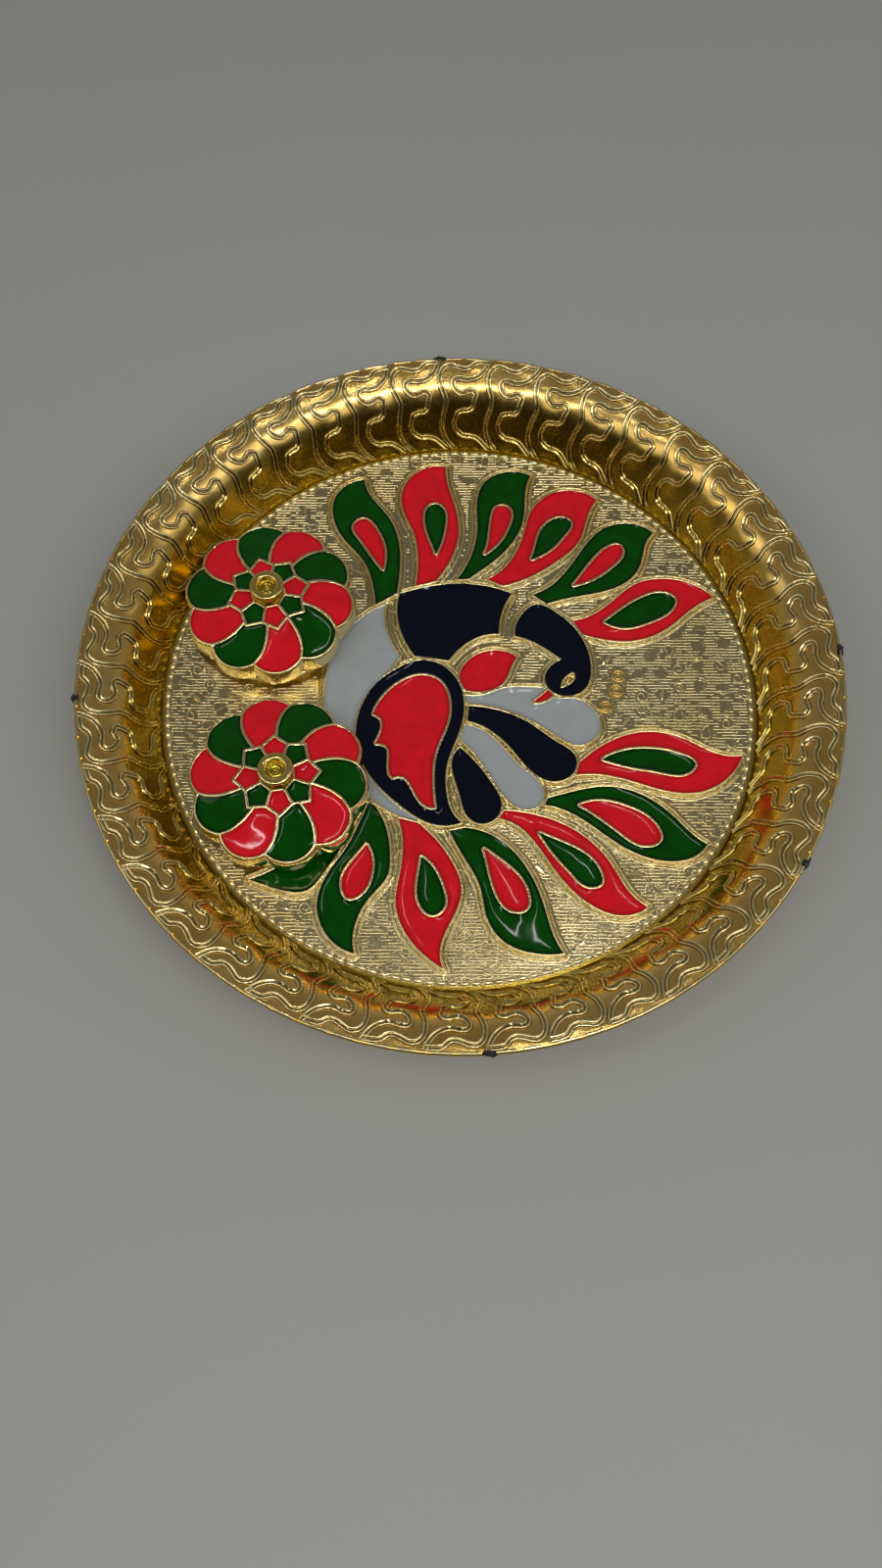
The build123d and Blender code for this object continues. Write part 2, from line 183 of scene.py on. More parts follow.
# outlines of the poured cells, read from the frame with the enamel on their left

outlines = {"stride": 0.00045, "cornerTurn": 38, "leastStep": 0.00015, "weld": 2e-6, "upward": 0.5,
            "denseStep": 0.00009, "fanFrom": 0.5, "fanStep": 0.35, "nearShare": 0.93}


def topLoops(node):
    shape = bmesh.new()
    shape.from_mesh(frame["nodes"][node].data)
    bmesh.ops.remove_doubles(shape, verts=shape.verts, dist=outlines["weld"])
    following = {}
    for face in shape.faces:
        if face.normal.z < outlines["upward"]:
            continue
        for loop in face.loops:
            across = [f for f in loop.edge.link_faces if f != face]
            if not across or across[0].normal.z < outlines["upward"]:
                following[loop.vert] = loop.link_loop_next.vert
    found = []
    while following:
        first, at = next(iter(following.items()))
        ring = [first.co.xy]
        del following[first]
        while at != first:
            ring.append(at.co.xy)
            at = following.pop(at)
        found.append(evenLoop(ring))
    shape.free()
    return found


def evenLoop(ring):
    # even steps from corner to corner
    count = len(ring)
    turns = []
    for k in range(count):
        before, after = ring[k] - ring[k - 1], ring[(k + 1) % count] - ring[k]
        turns.append(abs(before.angle_signed(after, 0)))
    corners = [k for k, turn in enumerate(turns) if turn > math.radians(outlines["cornerTurn"])]
    if not corners:
        return evenSteps(splineThrough(thinned(ring), closed=True), outlines["stride"], closed=True)
    loop = []
    for k, corner in enumerate(corners):
        end = corners[(k + 1) % len(corners)]
        end = end if end > corner else end + count
        part = thinned([ring[i % count] for i in range(corner, end + 1)])
        part = splineThrough(part) if len(part) > 2 else part
        loop += evenSteps(part, outlines["stride"])[:-1]
    return loop


def thinned(points):
    kept = points[:1]
    for point in points[1:-1]:
        if min((point - kept[-1]).length, (point - points[-1]).length) > outlines["leastStep"]:
            kept.append(point)
    return kept + points[-1:]


def spreadLoop(loop, amount):
    # the loop moved to its right, which is outwards on an anticlockwise one
    moved = []
    for k, point in enumerate(loop):
        along = (loop[(k + 1) % len(loop)] - loop[k - 1]).normalized()
        moved.append(point + Vector((along.y, -along.x)) * amount)
    return moved


def nearTo(loops):
    # distance from any point to the nearest of these outlines
    dense = [p for loop in loops for p in evenSteps(loop, outlines["denseStep"], closed=True)]
    tree = kdtree.KDTree(len(dense))
    for k, point in enumerate(dense):
        tree.insert(point.to_3d(), k)
    tree.balance()
    return lambda point: tree.find(Vector((point[0], point[1], 0)))[2]


def rowsBeside(loops, offsets, near, side, least):
    # points that run beside the outlines, side 1 on the enamel and -1 on the gold
    taken, kept = set(), []
    for offset in offsets:
        for loop in loops:
            for k, point in enumerate(loop):
                ahead = loop[(k + 1) % len(loop)] - point
                behind = point - loop[k - 1]
                normals = [Vector((-d.y, d.x)).normalized() * side for d in (behind, ahead)]
                turn = normals[0].angle(normals[1], 0) - outlines["fanFrom"]
                fan = 1 + int(max(0, turn) / outlines["fanStep"])
                for step in range(fan):
                    share = (step + 0.5) / fan
                    spot = point + normals[0].lerp(normals[1], share).normalized() * offset
                    cell = (round(spot.x / least), round(spot.y / least))
                    if cell in taken or near(spot) < offset * outlines["nearShare"]:
                        continue
                    taken.add(cell)
                    kept.append(spot)
    return kept


def hexPoints(low, high, stride):
    spots = []
    rise = stride * math.sqrt(3) / 2
    for row in range(int((high.y - low.y) / rise) + 1):
        for step in range(int((high.x - low.x) / stride) + 1):
            spots.append(Vector((low.x + (step + row % 2 / 2) * stride, low.y + row * rise)))
    return spots


def fillTiles(loops, inner):
    # flat tiles over the area inside the loops, and where each loop point went
    points, edges = [], []
    for loop in loops:
        start = len(points)
        points += loop
        edges += [(start + k, start + (k + 1) % len(loop)) for k in range(len(loop))]
    flat, _, tiles, source, _, _ = delaunay_2d_cdt(points + inner, edges, [], 0, hairGap)
    where = {origin: k for k, origins in enumerate(source) for origin in origins}
    walls = {frozenset((where[a], where[b])) for a, b in edges}
    return flat, oddTiles(tiles, walls), [where[k] for k in range(len(points))], edges


def oddTiles(tiles, walls):
    # keeps the tiles that lie an odd number of walls in from the outside
    beside = {}
    for k, tile in enumerate(tiles):
        for pair in tilePairs(tile):
            beside.setdefault(pair, []).append(k)
    odd = {owners[0]: pair in walls for pair, owners in beside.items() if len(owners) == 1}
    waiting = list(odd)
    while waiting:
        k = waiting.pop()
        for pair in tilePairs(tiles[k]):
            for other in beside[pair]:
                if other not in odd:
                    odd[other] = odd[k] != (pair in walls)
                    waiting.append(other)
    return [tile for k, tile in enumerate(tiles) if odd[k]]


def tilePairs(tile):
    return [frozenset((tile[k - 1], tile[k])) for k in range(len(tile))]


def tiledSolid(loops, inner, topHeight, footHeight):
    # closed sheet: fine tiles on top, coarse ones below, sides along the loops
    flat, tiles, edgeAt, edges = fillTiles(loops, inner)
    onEdge = set(edgeAt)
    verts = [(p.x, p.y, topHeight(p, k in onEdge)) for k, p in enumerate(flat)]
    faces = [list(tile) for tile in tiles]
    under, underTiles, underAt, _ = fillTiles(loops, [])
    underVerts = [(p.x, p.y, footHeight(p)) for p in under]
    base = addTo(verts, faces, underVerts, [tile[::-1] for tile in underTiles])
    faces += [[edgeAt[a], base + underAt[a], base + underAt[b], edgeAt[b]] for a, b in edges]
    return verts, faces


# node helpers

plainKinds = {float: "Float", int: "Int", tuple: "Vector"}


def addNode(tree, kind, wires=None, **settings):
    node = tree.nodes.new(kind)
    for key, value in settings.items():
        setattr(node, key, value)
    for key, value in (wires or {}).items():
        if isinstance(value, bpy.types.NodeSocket):
            tree.links.new(value, node.inputs[key])
        else:
            node.inputs[key].default_value = value
    return node


def outOf(tree, kind, wires=None, **settings):
    return addNode(tree, kind, wires, **settings).outputs[0]


def sums(tree, operation, *values, **settings):
    return outOf(tree, "ShaderNodeMath", dict(enumerate(values)), operation=operation, **settings)


def vectorOf(tree, x=0.0, y=0.0, z=0.0):
    return outOf(tree, "ShaderNodeCombineXYZ", {"X": x, "Y": y, "Z": z})


def joined(tree, *parts):
    whole = tree.nodes.new("GeometryNodeJoinGeometry")
    for part in parts:
        tree.links.new(part, whole.inputs[0])
    return whole.outputs[0]


def turnEach(tree, count, start=0.0):
    # each point is turned on from the last by an equal share of the circle
    index = outOf(tree, "GeometryNodeInputIndex")
    turn = sums(tree, "MULTIPLY", index, sums(tree, "DIVIDE", math.tau, count))
    return vectorOf(tree, z=sums(tree, "ADD", turn, start))


def growTree(name, values):
    # a tree with one input for each named value
    tree = bpy.data.node_groups.new(name, "GeometryNodeTree")
    tree.interface.new_socket("Geometry", in_out="OUTPUT", socket_type="NodeSocketGeometry")
    tree.interface.new_socket("Geometry", in_out="INPUT", socket_type="NodeSocketGeometry")
    for label, value in values.items():
        kind = plainKinds.get(type(value)) or value.bl_rna.identifier
        tree.interface.new_socket(label, in_out="INPUT", socket_type="NodeSocket" + kind)
    return tree, tree.nodes.new("NodeGroupInput").outputs


def closeTree(tree, geometry, material):
    real = outOf(tree, "GeometryNodeRealizeInstances", {"Geometry": geometry})
    smooth = outOf(tree, "GeometryNodeSetShadeSmooth", {"Geometry": real})
    coat = outOf(tree, "GeometryNodeSetMaterial", {"Geometry": smooth, "Material": material})
    tree.links.new(coat, tree.nodes.new("NodeGroupOutput").inputs[0])
    return tree


def runTree(host, tree, values):
    # sets the tree's inputs, then keeps what it makes as a plain mesh
    sockets = {s.name: s.identifier for s in tree.interface.items_tree if s.in_out == "INPUT"}
    modifier = host.modifiers.new(tree.name, "NODES")
    modifier.node_group = tree
    for label, value in values.items():
        modifier[sockets[label]] = value
    bpy.context.view_layer.update()
    graph = bpy.context.evaluated_depsgraph_get()
    mesh = bpy.data.meshes.new_from_object(host.evaluated_get(graph), depsgraph=graph)
    mesh.name = tree.name
    host.modifiers.remove(modifier)
    return linkObject(tree.name, mesh)


def clearAway(*spares):
    for spare in spares:
        bpy.data.objects.remove(spare)


def markPoints(mesh, label, values):
    mesh.attributes.new(label, "FLOAT", "POINT").data.foreach_set("value", values)


def lineObject(name, lines):
    # open or closed lines as a mesh of edges
    verts, edges = [], []
    for points, closed in lines:
        start, count = len(verts), len(points)
        verts += [tuple(p.to_3d()) for p in points]
        edges += [(start + k, start + (k + 1) % count) for k in range(count if closed else count - 1)]
    return linkObject(name, plainMesh(name, verts, edges, []))


def sweepRidge(tree, lines, normal, profile):
    # sweeps a section along lines, its height along the normal
    curve = outOf(tree, "GeometryNodeMeshToCurve", {"Mesh": lines})
    aimed = outOf(tree, "GeometryNodeSetCurveNormal", {"Curve": curve, "Normal": normal}, mode="FREE")
    section = addNode(tree, "GeometryNodeObjectInfo", {"Object": profile}).outputs["Geometry"]
    loop = outOf(tree, "GeometryNodeMeshToCurve", {"Mesh": section})
    wires = {"Curve": aimed, "Profile Curve": loop, "Fill Caps": True}
    return outOf(tree, "GeometryNodeCurveToMesh", wires)


def sectionObject(name, section):
    # section points are (height, sideways); crest goes from 0 at the foot to 1 at the top
    made = lineObject(name, [([Vector(p) for p in section], True)])
    top = max(height for height, _ in section)
    markPoints(made.data, "crest", [max(0, height) / top for height, _ in section])
    return made


# finishes

plating = {
    # pale and deep ends of each tone
    "silver": ((0.97, 0.89, 0.58, 1), (0.93, 0.81, 0.45, 1)),
    "champagne": ((0.92, 0.80, 0.44, 1), (0.88, 0.73, 0.34, 1)),
    "amber": ((0.86, 0.60, 0.20, 1), (0.80, 0.51, 0.13, 1)),
    "olive": ((0.84, 0.67, 0.25, 1), (0.74, 0.55, 0.15, 1)),
    "patchScale": 55.0, "patchEnds": (0.35, 0.65), "glossScale": 900.0, "glossEnds": (0.3, 0.7),
    "grainScale": 2300.0, "grainRoughness": 0.6, "hatchScale": 330.0, "hatchBend": 6.0, "hatchShare": 0.6,
}
# painted shade: a darker colour blended in where shade falls, low on the inner walls and cups, in the knob's
# dish, on the low floor, and down the flanks and grooves of raised lines; what it goes by, from none to full,
# and its colour there
paintedShade = {
    # painted shade growing with depth below the lip, on the tracery down the inner wall and over the cups
    "wall": ("height", lipTop - 0.0025, lipTop - 0.0075, (0.58, 0.42, 0.06, 1)),
    # painted shade in the knob's dish below its brim
    "knob": ("height", knobTop - 0.0004, knobTop - 0.0012, (0.58, 0.42, 0.06, 1)),
    # painted shade on the low floor between raised lines and at the foot of the rosettes
    "ground": ("height", floorTop + 0.0004, floorTop + 0.0001, (0.50, 0.41, 0.22, 1)),
    # painted shade down the plate's inner face into the well, by its well mark
    "well": ("well", 0.0, 1.0, (0.50, 0.34, 0.04, 1)),
    # painted shade on the flanks and in the groove of raised lines, below their crests
    "groove": ("crest", 0.95, 0.45, (0.36, 0.24, 0.05, 1)),
}
enamelLook = {
    "enamel_red": {"Body": (0.88, 0.012, 0.026, 1), "Deep": (0.56, 0.007, 0.012, 1)},
    "enamel_green": {"Body": (0.0004, 0.078, 0.001, 1), "Deep": (0.0003, 0.022, 0.001, 1)},
    "enamel_navy": {"Body": (0.002, 0.0034, 0.014, 1), "Deep": (0.0014, 0.0022, 0.008, 1)},
    "enamel_white": {"Body": (0.43, 0.47, 0.48, 1), "Deep": (0.37, 0.40, 0.40, 1)},
}
pouredLook = {"roughness": 0.05, "specular": 0.25, "swellScale": 160.0, "swellDepth": 0.00012,
              "cloudScale": 260.0, "cloudEnds": (0.3, 0.7), "cloudShare": 0.45, "shoreEnds": (0.0001, 0.0008)}


def shaderGroup(name, inputs, outputs):
    group = bpy.data.node_groups.new(name, "ShaderNodeTree")
    for side, sockets in (("INPUT", inputs), ("OUTPUT", outputs)):
        for label, kind in sockets.items():
            group.interface.new_socket(label, in_out=side, socket_type="NodeSocket" + kind)
    return group, group.nodes.new("NodeGroupInput").outputs, group.nodes.new("NodeGroupOutput").inputs


def noiseAt(tree, coords, scale, detail=2.0, roughness=0.5):
    wires = {"Vector": coords, "Scale": scale, "Detail": detail, "Roughness": roughness}
    return outOf(tree, "ShaderNodeTexNoise", wires)


def spread(tree, value, low, high, toLow=0.0, toHigh=1.0):
    wires = {"Value": value, "From Min": low, "From Max": high, "To Min": toLow, "To Max": toHigh}
    return outOf(tree, "ShaderNodeMapRange", wires)


def blendColours(tree, share, first, second):
    # a colour mix takes its colours at sockets 6 and 7 and gives its result at 2
    return addNode(tree, "ShaderNodeMix", {0: share, 6: first, 7: second}, data_type="RGBA").outputs[2]


def platingGroup():
    # thin and thick patches of plating: a tint and a gloss that drift over the surface
    inputs = {"Place": "Vector", "Patch Scale": "Float", "Pale": "Color", "Deep": "Color",
              "Gloss Low": "Float", "Gloss High": "Float"}
    group, given, made = shaderGroup("platingDrift", inputs, {"Tint": "Color", "Gloss": "Float"})
    patch = noiseAt(group, given["Place"], given["Patch Scale"], detail=3.0)
    share = spread(group, patch, *plating["patchEnds"])
    group.links.new(blendColours(group, share, given["Pale"], given["Deep"]), made["Tint"])
    fine = noiseAt(group, given["Place"], plating["glossScale"])
    gloss = spread(group, fine, *plating["glossEnds"], given["Gloss Low"], given["Gloss High"])
    group.links.new(gloss, made["Gloss"])
    return group


def stippleGroup():
    # hammered and hatched surface between the raised lines, as a height
    inputs = {"Place": "Vector", "Grain Scale": "Float", "Hatch Scale": "Float"}
    group, given, made = shaderGroup("castStipple", inputs, {"Height": "Float"})
    grain = noiseAt(group, given["Place"], given["Grain Scale"], roughness=plating["grainRoughness"])
    wires = {"Vector": given["Place"], "Scale": given["Hatch Scale"], "Distortion": plating["hatchBend"],
             "Detail": 2.0, "Detail Scale": 1.6}
    hatch = addNode(group, "ShaderNodeTexWave", wires, bands_direction="Y").outputs["Fac"]
    group.links.new(sums(group, "MULTIPLY_ADD", hatch, plating["hatchShare"], grain), made["Height"])
    return group


def swellGroup():
    # slow swell of a poured or plated surface, as a height
    inputs = {"Place": "Vector", "Swell Scale": "Float"}
    group, given, made = shaderGroup("pouredSwell", inputs, {"Height": "Float"})
    swell = noiseAt(group, given["Place"], given["Swell Scale"], detail=1.0, roughness=0.4)
    group.links.new(swell, made["Height"])
    return group


def pourGroup():
    # colour of a pour: deep where it is thick by the walls, cloudy elsewhere
    inputs = {"Place": "Vector", "Shore": "Float", "Body": "Color", "Deep": "Color"}
    group, given, made = shaderGroup("pouredDepth", inputs, {"Tint": "Color"})
    cloud = noiseAt(group, given["Place"], pouredLook["cloudScale"], detail=3.0)
    cloud = spread(group, cloud, *pouredLook["cloudEnds"])
    shore = spread(group, given["Shore"], *pouredLook["shoreEnds"], 1.0, 0.0)
    share = sums(group, "MULTIPLY_ADD", cloud, pouredLook["cloudShare"], shore, use_clamp=True)
    group.links.new(blendColours(group, share, given["Body"], given["Deep"]), made["Tint"])
    return group


finishGroups = {"plating": platingGroup(), "stipple": stippleGroup(), "swell": swellGroup(),
                "pour": pourGroup()}


def openMaterial(name):
    material = bpy.data.materials.new(name)
    material.use_nodes = True
    tree = material.node_tree
    shader = tree.nodes["Principled BSDF"]
    place = addNode(tree, "ShaderNodeTexCoord").outputs["Object"]
    return material, tree, shader, place


def placeGroup(tree, key, **wires):
    labelled = {label.replace("_", " "): value for label, value in wires.items()}
    return addNode(tree, "ShaderNodeGroup", labelled, node_tree=finishGroups[key]).outputs


def bumpBy(tree, shader, height, strength, depth):
    wires = {"Height": height, "Strength": strength, "Distance": depth}
    tree.links.new(outOf(tree, "ShaderNodeBump", wires), shader.inputs["Normal"])


def goldFinish(name, tone, gloss, pools=(), grainDepth=0.0, peelDepth=0.00002, peelScale=700.0):
    material, tree, shader, place = openMaterial(name)
    pale, deep = plating[tone]
    drift = placeGroup(tree, "plating", Place=place, Patch_Scale=plating["patchScale"], Pale=pale, Deep=deep,
                       Gloss_Low=gloss[0], Gloss_High=gloss[1])
    tint = drift["Tint"]
    # each entry in pools lays painted shade: the tint is blended towards a darker colour where shade falls
    for kind, share in pools:
        source, clear, full, colour = paintedShade[kind]
        if source == "height":
            value = addNode(tree, "ShaderNodeSeparateXYZ", {0: place}).outputs[2]
        else:
            value = addNode(tree, "ShaderNodeAttribute", attribute_name=source).outputs["Fac"]
        tint = blendColours(tree, spread(tree, value, clear, full, 0.0, share), tint, colour)
    tree.links.new(tint, shader.inputs["Base Color"])
    tree.links.new(drift["Gloss"], shader.inputs["Roughness"])
    shader.inputs["Metallic"].default_value = 1.0
    if grainDepth:
        relief = placeGroup(tree, "stipple", Place=place, Grain_Scale=plating["grainScale"],
                            Hatch_Scale=plating["hatchScale"])
    else:
        relief = placeGroup(tree, "swell", Place=place, Swell_Scale=peelScale)
    bumpBy(tree, shader, relief["Height"], 1.0, grainDepth or peelDepth)
    return material


def enamelFinish(slotName):
    material, tree, shader, place = openMaterial(slotName + "_pour")
    shore = addNode(tree, "ShaderNodeAttribute", attribute_name="shore").outputs["Fac"]
    tint = placeGroup(tree, "pour", Place=place, Shore=shore, **enamelLook[slotName])["Tint"]
    tree.links.new(tint, shader.inputs["Base Color"])
    shader.inputs["Roughness"].default_value = pouredLook["roughness"]
    shader.inputs["Specular IOR Level"].default_value = pouredLook["specular"]
    height = placeGroup(tree, "swell", Place=place, Swell_Scale=pouredLook["swellScale"])["Height"]
    bumpBy(tree, shader, height, 1.0, pouredLook["swellDepth"])
    return material


# the lists after the gloss give the painted shade on each finish
plateGold = goldFinish("plateGold", "amber", (0.17, 0.24), [("well", 1.0)],
                       peelDepth=0.00003, peelScale=260.0)
polishedGold = goldFinish("polishedGold", "amber", (0.09, 0.15), [("wall", 1.0)],
                          peelDepth=0.00008, peelScale=260.0)
castGold = goldFinish("castGold", "champagne", (0.16, 0.24), [("ground", 0.6)], grainDepth=0.00004)
ridgeGold = goldFinish("ridgeGold", "champagne", (0.10, 0.16), peelDepth=0.00003)
ringGold = goldFinish("ringGold", "olive", (0.10, 0.16), [("ground", 0.9)], peelDepth=0.00003)
beadGold = goldFinish("beadGold", "silver", (0.12, 0.2), peelDepth=0.00003)
hatchGold = goldFinish("hatchGold", "silver", (0.10, 0.16), [("groove", 0.6)], peelDepth=0.00003)
bandGold = goldFinish("bandGold", "champagne", (0.08, 0.13), [("groove", 0.85), ("wall", 0.5)])
knobGold = goldFinish("knobGold", "olive", (0.10, 0.16), [("knob", 1.0)])
enamel = {slotName: enamelFinish(slotName) for slotName in enamelLook}
print("finishes ready")


# plate: turned shell under all the raised work

rim = {"floorRadius": 0.0723, "slope": math.radians(58), "thickness": 0.0018, "sink": 0.0005,
       "turnSteps": 504, "faceRows": 30, "lipSteps": 10, "repeats": 42, "firstAngle": math.radians(84.4),
       "cushion": 0.00022, "cushionStart": (0.03, 0.16), "cushionEnd": (0.84, 0.97), "cushionDip": 0.4,
       "cushionWaves": 2, "footRadius": 0.062, "footWidth": 0.0025, "footHeight": 0.0025, "edgeRound": 0.0004,
       "underRun": 0.0012, "floorInset": 0.0006, "floorSink": 0.0003}
floorRadius = rim["floorRadius"]
floorCorner = Vector((floorRadius, floorRadius))
rimReach, rimRise = plateRadius - floorRadius, lipTop - floorTop
halfTan = math.tan(rim["slope"] / 2)
straightReach = (rimRise - rimReach * halfTan) / (math.tan(rim["slope"]) - halfTan)
rollRadius = (rimReach - straightReach) / math.sin(rim["slope"])
rollLength = rollRadius * rim["slope"]
rimLength = rollLength + straightReach / math.cos(rim["slope"])


def rimSpot(share, lift):
    # share 0 at the lip to 1 at the floor; lift stands off the face
    run = share * rimLength
    lean = min(run / rollRadius, rim["slope"])
    radius, height = plateRadius - rollRadius * math.sin(lean), lipTop - rollRadius * (1 - math.cos(lean))
    if run > rollLength:
        radius -= (run - rollLength) * math.cos(lean)
        height -= (run - rollLength) * math.sin(lean)
    return radius - lift * math.sin(lean), height + lift * math.cos(lean)


def facePoint(share, angle):
    # on the inner face, which swells between one scallop of the tracery and the next
    along = math.cos((rim["firstAngle"] - angle) * rim["repeats"])
    fade = ease(*rim["cushionStart"], share) * (1 - ease(*rim["cushionEnd"], share))
    waist = 1 - rim["cushionDip"] + rim["cushionDip"] * math.cos(math.tau * rim["cushionWaves"] * share)
    radius, height = rimSpot(share, -rim["cushion"] * along * fade * waist - rim["sink"])
    return *polar(radius, angle), height


def buildPlate():
    foot, inner = rim["footRadius"], rim["footRadius"] - rim["footWidth"]
    soft, base = rim["edgeRound"], rim["footHeight"]
    profile = [(0, base), (inner - soft, base), (inner, base - soft), (inner, soft), (inner + soft, 0),
               (foot - soft, 0), (foot, soft), (foot, base - soft), (foot + soft, base)]
    lipRound = (rim["thickness"] - rim["sink"]) / 2
    lipShare = lipRound / rimLength
    shares = [lipShare + (1 - lipShare) * k / rim["faceRows"] for k in range(rim["faceRows"] + 1)]
    under = [rimSpot(share, -rim["thickness"]) for share in reversed(shares)]
    profile += [(under[0][0] - rim["underRun"], base)] + under
    profile += arcPoints(lipRound, -90, 90, rim["lipSteps"], rimSpot(lipShare, -rim["sink"] - lipRound))[1:-1]
    innerRings = len(profile) - 1
    profile += [rimSpot(share, -rim["sink"]) for share in shares]
    level = floorTop - rim["floorSink"]
    profile += [(floorRadius - rim["floorInset"], level), (0, level)]
    steps = rim["turnSteps"]
    verts, faces = lathe(profile, steps)
    for row, share in enumerate(shares):
        start = 1 + (innerRings + row) * steps  # one point at the pole, then whole rings
        verts[start:start + steps] = [facePoint(share, math.tau * k / steps) for k in range(steps)]
    skin = solidMesh("plateSkin", verts, faces)
    # marks where the painted shade runs down the inner face
    markPoints(skin.data, "well", [wellDepth(v) for v in skin.data.vertices])
    return skin


def wellDepth(vert):
    # how far down the inner face a point lies, 0 on the outside; it sets the painted shade in the well
    _, clear, full, _ = paintedShade["wall"]
    return 1 - ease(full, clear, vert.co.z) if vert.normal.z > 0 else 0.0


dress(buildPlate(), plateGold, "tray", "plate_shell")
print("plate turned")


# rim tracery: one hook and one scallop, swept as a grooved band and turned round the rim

tracery = {
    "stride": 0.0007,
    # shares: along the pitch clockwise, then from the lip down to the floor
    "hook": [
        [(.91, .03), (.855, .115), (.757, .188), (.62, .235), (.466, .25), (.33, .235), (.223, .245),
         (.185, .282), (.213, .334), (.33, .386), (.447, .381), (.563, .36), (.65, .381), (.68, .402)],
        [(.68, .402), (.65, .47), (.621, .532)],
        [(.621, .532), (.544, .564), (.408, .569), (.291, .595), (.223, .658), (.223, .72), (.291, .793),
         (.427, .835), (.602, .84), (.757, .866), (.893, .919), (1.01, .97)],
    ],
    "scallop": [
        [(.90, .06), (.75, .06), (.63, .07), (.60, .085)],
        [(.60, .085), (.524, .125), (.408, .136), (.272, .115), (.155, .092), (.04, .104), (-.05, .157),
         (-.08, .23), (-.058, .324), (0, .407), (.03, .46), (.01, .532), (-.043, .626), (-.064, .72),
         (-.03, .814), (.068, .908), (.18, .966)],
    ],
    # section of the band: height, sideways
    "section": [(-.0001, -.00088), (.00018, -.0008), (.00042, -.00066), (.0005, -.0005), (.00042, -.00032),
                (.00022, -.00014), (.00018, 0), (.00022, .00014), (.00042, .00032), (.0005, .0005),
                (.00042, .00066), (.00018, .0008), (-.0001, .00088)],
}
# short bars of the pattern along the lip
lipBars = {
    "lines": ([[(.06, .022), (.36, .022)]], [[(.47, .022), (.78, .022)]]),
    "section": [(-.0001, -.00042), (.00024, -.00034), (.00036, -.00014), (.00036, .00014), (.00024, .00034),
                (-.0001, .00042)],
}


def traceryTree(name, values):
    tree, given = growTree(name, values)
    place = outOf(tree, "GeometryNodeInputPosition")
    x, y, _ = addNode(tree, "ShaderNodeSeparateXYZ", {0: place}).outputs
    radius = sums(tree, "SQRT", sums(tree, "ADD", sums(tree, "MULTIPLY", x, x), sums(tree, "MULTIPLY", y, y)))
    lean = sums(tree, "DIVIDE", sums(tree, "SUBTRACT", given["plateRadius"], radius), given["rollRadius"])
    lean = sums(tree, "MINIMUM", sums(tree, "MAXIMUM", lean, 0.0), given["steepest"])
    inward = sums(tree, "DIVIDE", sums(tree, "MULTIPLY", lean, -1.0), radius)
    upward = sums(tree, "SQRT", sums(tree, "SUBTRACT", 1.0, sums(tree, "MULTIPLY", lean, lean)))
    normal = vectorOf(tree, sums(tree, "MULTIPLY", x, inward), sums(tree, "MULTIPLY", y, inward), upward)
    band = sweepRidge(tree, given["Geometry"], normal, given["section"])
    spots = outOf(tree, "GeometryNodePoints", {"Count": given["repeats"]})
    wires = {"Points": spots, "Instance": band, "Rotation": turnEach(tree, given["repeats"])}
    return closeTree(tree, outOf(tree, "GeometryNodeInstanceOnPoints", wires), given["finish"])


def traceryLine(parts):
    across = math.tau / rim["repeats"] * plateRadius
    line = []
    for part in parts:
        flat = [Vector((u * across, v * rimLength)) for u, v in part]
        step = evenSteps(splineThrough(flat), tracery["stride"])
        line += step if not line else step[1:]
    spots = [facePoint(p.y / rimLength, rim["firstAngle"] - p.x / plateRadius) for p in line]
    return [Vector(spot) for spot in spots], False


def buildTracery(name, lines, section):
    unit = lineObject(name + "Unit", [traceryLine(parts) for parts in lines])
    shape = sectionObject(name + "Section", section)
    values = {"section": shape, "repeats": rim["repeats"], "plateRadius": plateRadius,
              "rollRadius": rollRadius, "steepest": math.sin(rim["slope"]), "finish": bandGold}
    made = runTree(unit, traceryTree(name, values), values)
    clearAway(unit, shape)
    return dress(made, bandGold, "tray")


rimBand = buildTracery("rimTracery", (tracery["hook"], tracery["scallop"]), tracery["section"])
buildTracery("lipBars", lipBars["lines"], lipBars["section"])
print("rim tracery:", len(rimBand.data.polygons), "faces")


# floor: cell walls, a second line beside them, and seats for the cups

floorRelief = {
    "wallWidth": 0.00066, "wallHeight": 0.0008, "wallFoot": 0.00055,
    "lineStart": 0.00098, "lineEnd": 0.00152, "lineHeight": 0.00034,
    "rows": (0.00007, 0.00018, 0.00033, 0.00048, 0.00058, 0.00066, 0.00098, 0.00106, 0.00116, 0.00125,
             0.00134, 0.00144, 0.00152, 0.0019),
    "leastStep": 0.00011, "openStride": 0.0016, "openRoom": 0.0006, "edgeInset": 0.0002, "edgeRoom": 0.0008,
    "edgeSteps": 420, "seatRadius": 0.0187, "seatFlank": 0.0001, "seatRoom": 0.0004, "seatSteps": 160,
    "under": 0.0005, "sharpAngle": 75,
}
trayCells = {node: topLoops(node) for node, slotName in slotOf.items()
             if bodyOf[node] == "tray" and slotName != "gold_plating"}
allLoops = [loop for loops in trayCells.values() for loop in loops]
nearCell = nearTo(allLoops)


def pastSeats(point):
    # distance outside the nearest seat, less than 0 on it
    return min((point - centre).length for centre in cupCentre.values()) - floorRelief["seatRadius"]


def reliefHeight(point):
    f = floorRelief
    away, wide = nearCell(point), f["wallWidth"]
    if pastSeats(point) < 0:
        return floorTop + f["wallHeight"]
    if away < wide / 2:
        rise = f["wallFoot"] + (f["wallHeight"] - f["wallFoot"]) * bump(0, wide, away)
    else:
        rise = f["wallHeight"] * math.sqrt(bump(0, wide, away))
    line = f["lineHeight"] * bump(f["lineStart"], f["lineEnd"], away)
    return floorTop + max(rise, line)


